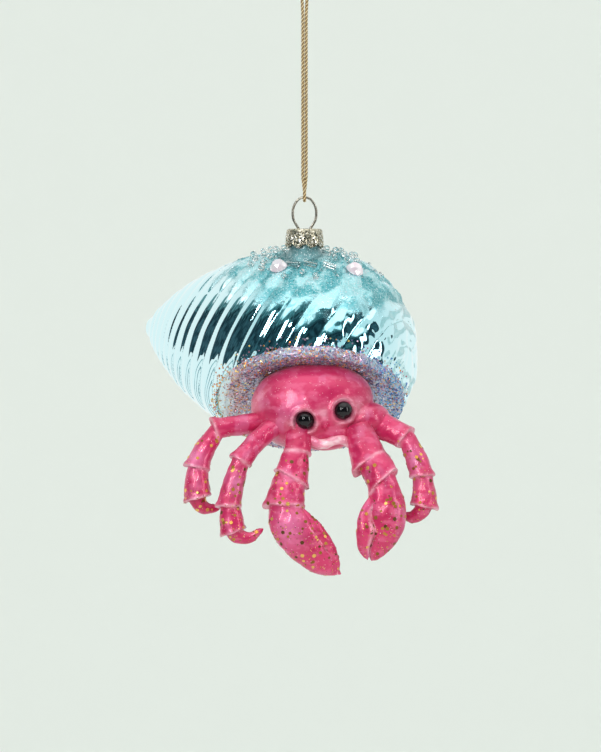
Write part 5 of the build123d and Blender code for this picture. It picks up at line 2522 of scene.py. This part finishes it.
@dataclass
class Studio:
    """Camera, lamps, backdrop, floor and the dark room behind the camera."""

    distance: float = 2500.0
    scale: float = 2.8
    sensor: float = 36.0
    sight: float = 20.0
    middle: Point = (-1.43, 0.0, -148.57)
    aim: Point = (2.0, -5.0, -150.0)
    floor: float = -900.0
    wall: float = 1200.0
    bend: float = 300.0
    paper_top: float = 1700.0
    paper_reach: float = 9000.0
    glow: float = 0.5
    white: float = 0.95
    air: Colour = (0.98, 1.0, 0.98, 1.0)
    curtains: Tuple[Tuple[Span, Span, Span], ...] = (
        ((1800.0, -735.0), (2300.0, 2100.0), (-95.0, 50.0)),
        ((1800.0, -600.0), (2300.0, 1300.0), (62.0, 82.0)),
    )
    folds: int = 97
    left_ends: Span = (-175.0, -30.0)
    left_strips: Tuple[Point, ...] = (
        (700.0, -46.0, 2.6), (700.0, -37.0, 2.2), (700.0, -28.0, 2.4),
        (1700.0, 50.0, 4.0), (1700.0, 58.0, 5.0),
    )
    right_ends: Span = (92.0, 165.0)
    right_strips: Tuple[Point, ...] = ((1700.0, -32.0, 22.0), (1700.0, 6.0, 20.0))
    lamps: Tuple[Tuple[str, Point, Span, float, bool], ...] = (
        ("left_softbox", (-660.0, -1150.0, 350.0), (220.0, 700.0), 6.0, True),
        ("right_softbox", (1050.0, -800.0, 200.0), (300.0, 900.0), 3.4, True),
        ("top_softbox", (-100.0, -350.0, 1050.0), (1700.0, 1300.0), 5.6, True),
        ("front_key", (-260.0, -1400.0, 450.0), (160.0, 160.0), 3.0, True),
        ("low_fill", (250.0, -1500.0, -420.0), (900.0, 450.0), 3.4, False),
    )

    def camera(self) -> None:
        """Puts the camera where the photograph was taken from."""
        data = bpy.data.cameras.new("photo_camera")
        data.sensor_width = self.sensor
        data.sensor_fit = "AUTO"
        data.lens = data.sensor_width * self.distance / (PHOTO_HEIGHT / self.scale)
        data.clip_end = self.sight
        thing = bpy.data.objects.new("photo_camera", data)
        thing.location = (self.middle[0] * MM, -self.distance * MM, self.middle[2] * MM)
        thing.rotation_euler = (math.pi / 2, 0.0, 0.0)
        bpy.context.scene.collection.objects.link(thing)
        bpy.context.scene.camera = thing

    def lamp(self, name: str, place: Point, size: Span, power: float, mirrored: bool) -> None:
        """Adds a soft lamp that looks at the ornament.

        Args:
            name: The lamp's name.
            place: Where it stands, in millimetres.
            size: Its width and height in millimetres.
            power: Its power in watts.
            mirrored: Whether the glass mirrors it.
        """
        data = bpy.data.lights.new(name, "AREA")
        data.shape = "RECTANGLE"
        data.size, data.size_y = size[0] * MM, size[1] * MM
        data.energy = power
        thing = bpy.data.objects.new(name, data)
        thing.location = Vector(place) * MM
        thing.visible_glossy = mirrored
        aim = (Vector(self.aim) - Vector(place)).normalized()
        thing.rotation_euler = aim.to_track_quat("-Z", "Y").to_euler()
        bpy.context.scene.collection.objects.link(thing)

    def sweep(self) -> None:
        """Builds the paper that runs from the floor up behind the ornament."""
        bend, reach = self.bend, self.paper_reach
        profile: List[Span] = [(-reach, self.floor), (self.wall - bend, self.floor)]
        profile += [
            (self.wall - bend + bend * math.sin(turn), self.floor + bend - bend * math.cos(turn))
            for turn in np.linspace(0.1, math.pi / 2, 14)
        ]
        profile.append((self.wall, self.paper_top))
        points = [(x, y, z) for y, z in profile for x in (-reach, reach)]
        faces = [(2 * i, 2 * i + 1, 2 * i + 3, 2 * i + 2) for i in range(len(profile) - 1)]
        paper = dressed(solid_object("paper", np.array(points), faces), StudioPaper().material())
        paper.visible_glossy = False

    def curtain(self, low: Span, high: Span, ends: Span, cloth: StudioCloth) -> None:
        """Hangs a curtain round the camera, which the glass mirrors and the camera doesn't see.

        Args:
            low: Radius about the hanging line and height of its lower edge, in millimetres.
            high: The same of its upper edge.
            ends: Its left and right end in degrees from the camera.
            cloth: What it is made of.
        """
        steps = self.folds
        turns = np.radians(np.linspace(*ends, steps))
        sag = 0.1 * (high[1] - low[1]) * (np.sin(7.0 * turns) + 0.65 * np.sin(17.0 * turns + 1.0))
        rings = [
            np.stack([radius * np.sin(turns), -radius * np.cos(turns), height + share * sag], axis=1)
            for (radius, height), share in ((low, 0.25), (high, 1.0))
        ]
        faces = [(i, i + 1, steps + i + 1, steps + i) for i in range(steps - 1)]
        sheet = dressed(solid_object("curtain", np.concatenate(rings), faces), cloth.material())
        sheet.visible_camera = False
        sheet.visible_shadow = False
        sheet.visible_diffuse = False

    def surround(self) -> None:
        """Fills the room with even white light."""
        world = bpy.data.worlds.new("studio")
        world.use_nodes = True
        world.node_tree.nodes.clear()
        board = Board(world.node_tree)
        seen = board.add("ShaderNodeLightPath").outputs
        mirrored = board.math("MAXIMUM", seen["Is Glossy Ray"], seen["Is Transmission Ray"])
        shown = board.math("MAXIMUM", seen["Is Camera Ray"], mirrored)
        light = board.math("ADD", self.glow, board.times(shown, self.white - self.glow))
        glow = board.add("ShaderNodeBackground", {"Color": self.air, "Strength": light})
        output = board.add("ShaderNodeOutputWorld")
        world.node_tree.links.new(glow.outputs[0], output.inputs[0])
        bpy.context.scene.world = world

    def build(self) -> None:
        """Sets up the studio."""
        bpy.context.scene.view_settings.view_transform = "Standard"
        self.camera()
        self.sweep()
        self.surround()
        for low, high, ends in self.curtains:
            self.curtain(low, high, ends, StudioCloth())
        grey = StudioCloth("grey_cloth", rgb(110, 152, 164), rgb(160, 200, 208))
        pale = StudioCloth("pale_cloth", rgb(214, 234, 236), rgb(252, 252, 252))
        sides = ((self.left_strips, self.left_ends, grey), (self.right_strips, self.right_ends, pale))
        for strips, ends, cloth in sides:
            for radius, slope, width in strips:
                rises = [math.tan(math.radians(slope + part)) for part in (0.0, width)]
                low, high = [(radius, self.middle[2] + radius * rise) for rise in rises]
                self.curtain(low, high, ends, cloth)
        for lamp in self.lamps:
            self.lamp(*lamp)


def main() -> None:
    """Builds the ornament's looks in order."""
    logging.basicConfig(level=logging.INFO, format="%(name)s: %(message)s")
    Studio().build()
    Cord().build()
    Hanger().build()
    skin = Shell().build()
    Crab().build()
    Trim().build(skin)


if __name__ == "__main__":
    main()
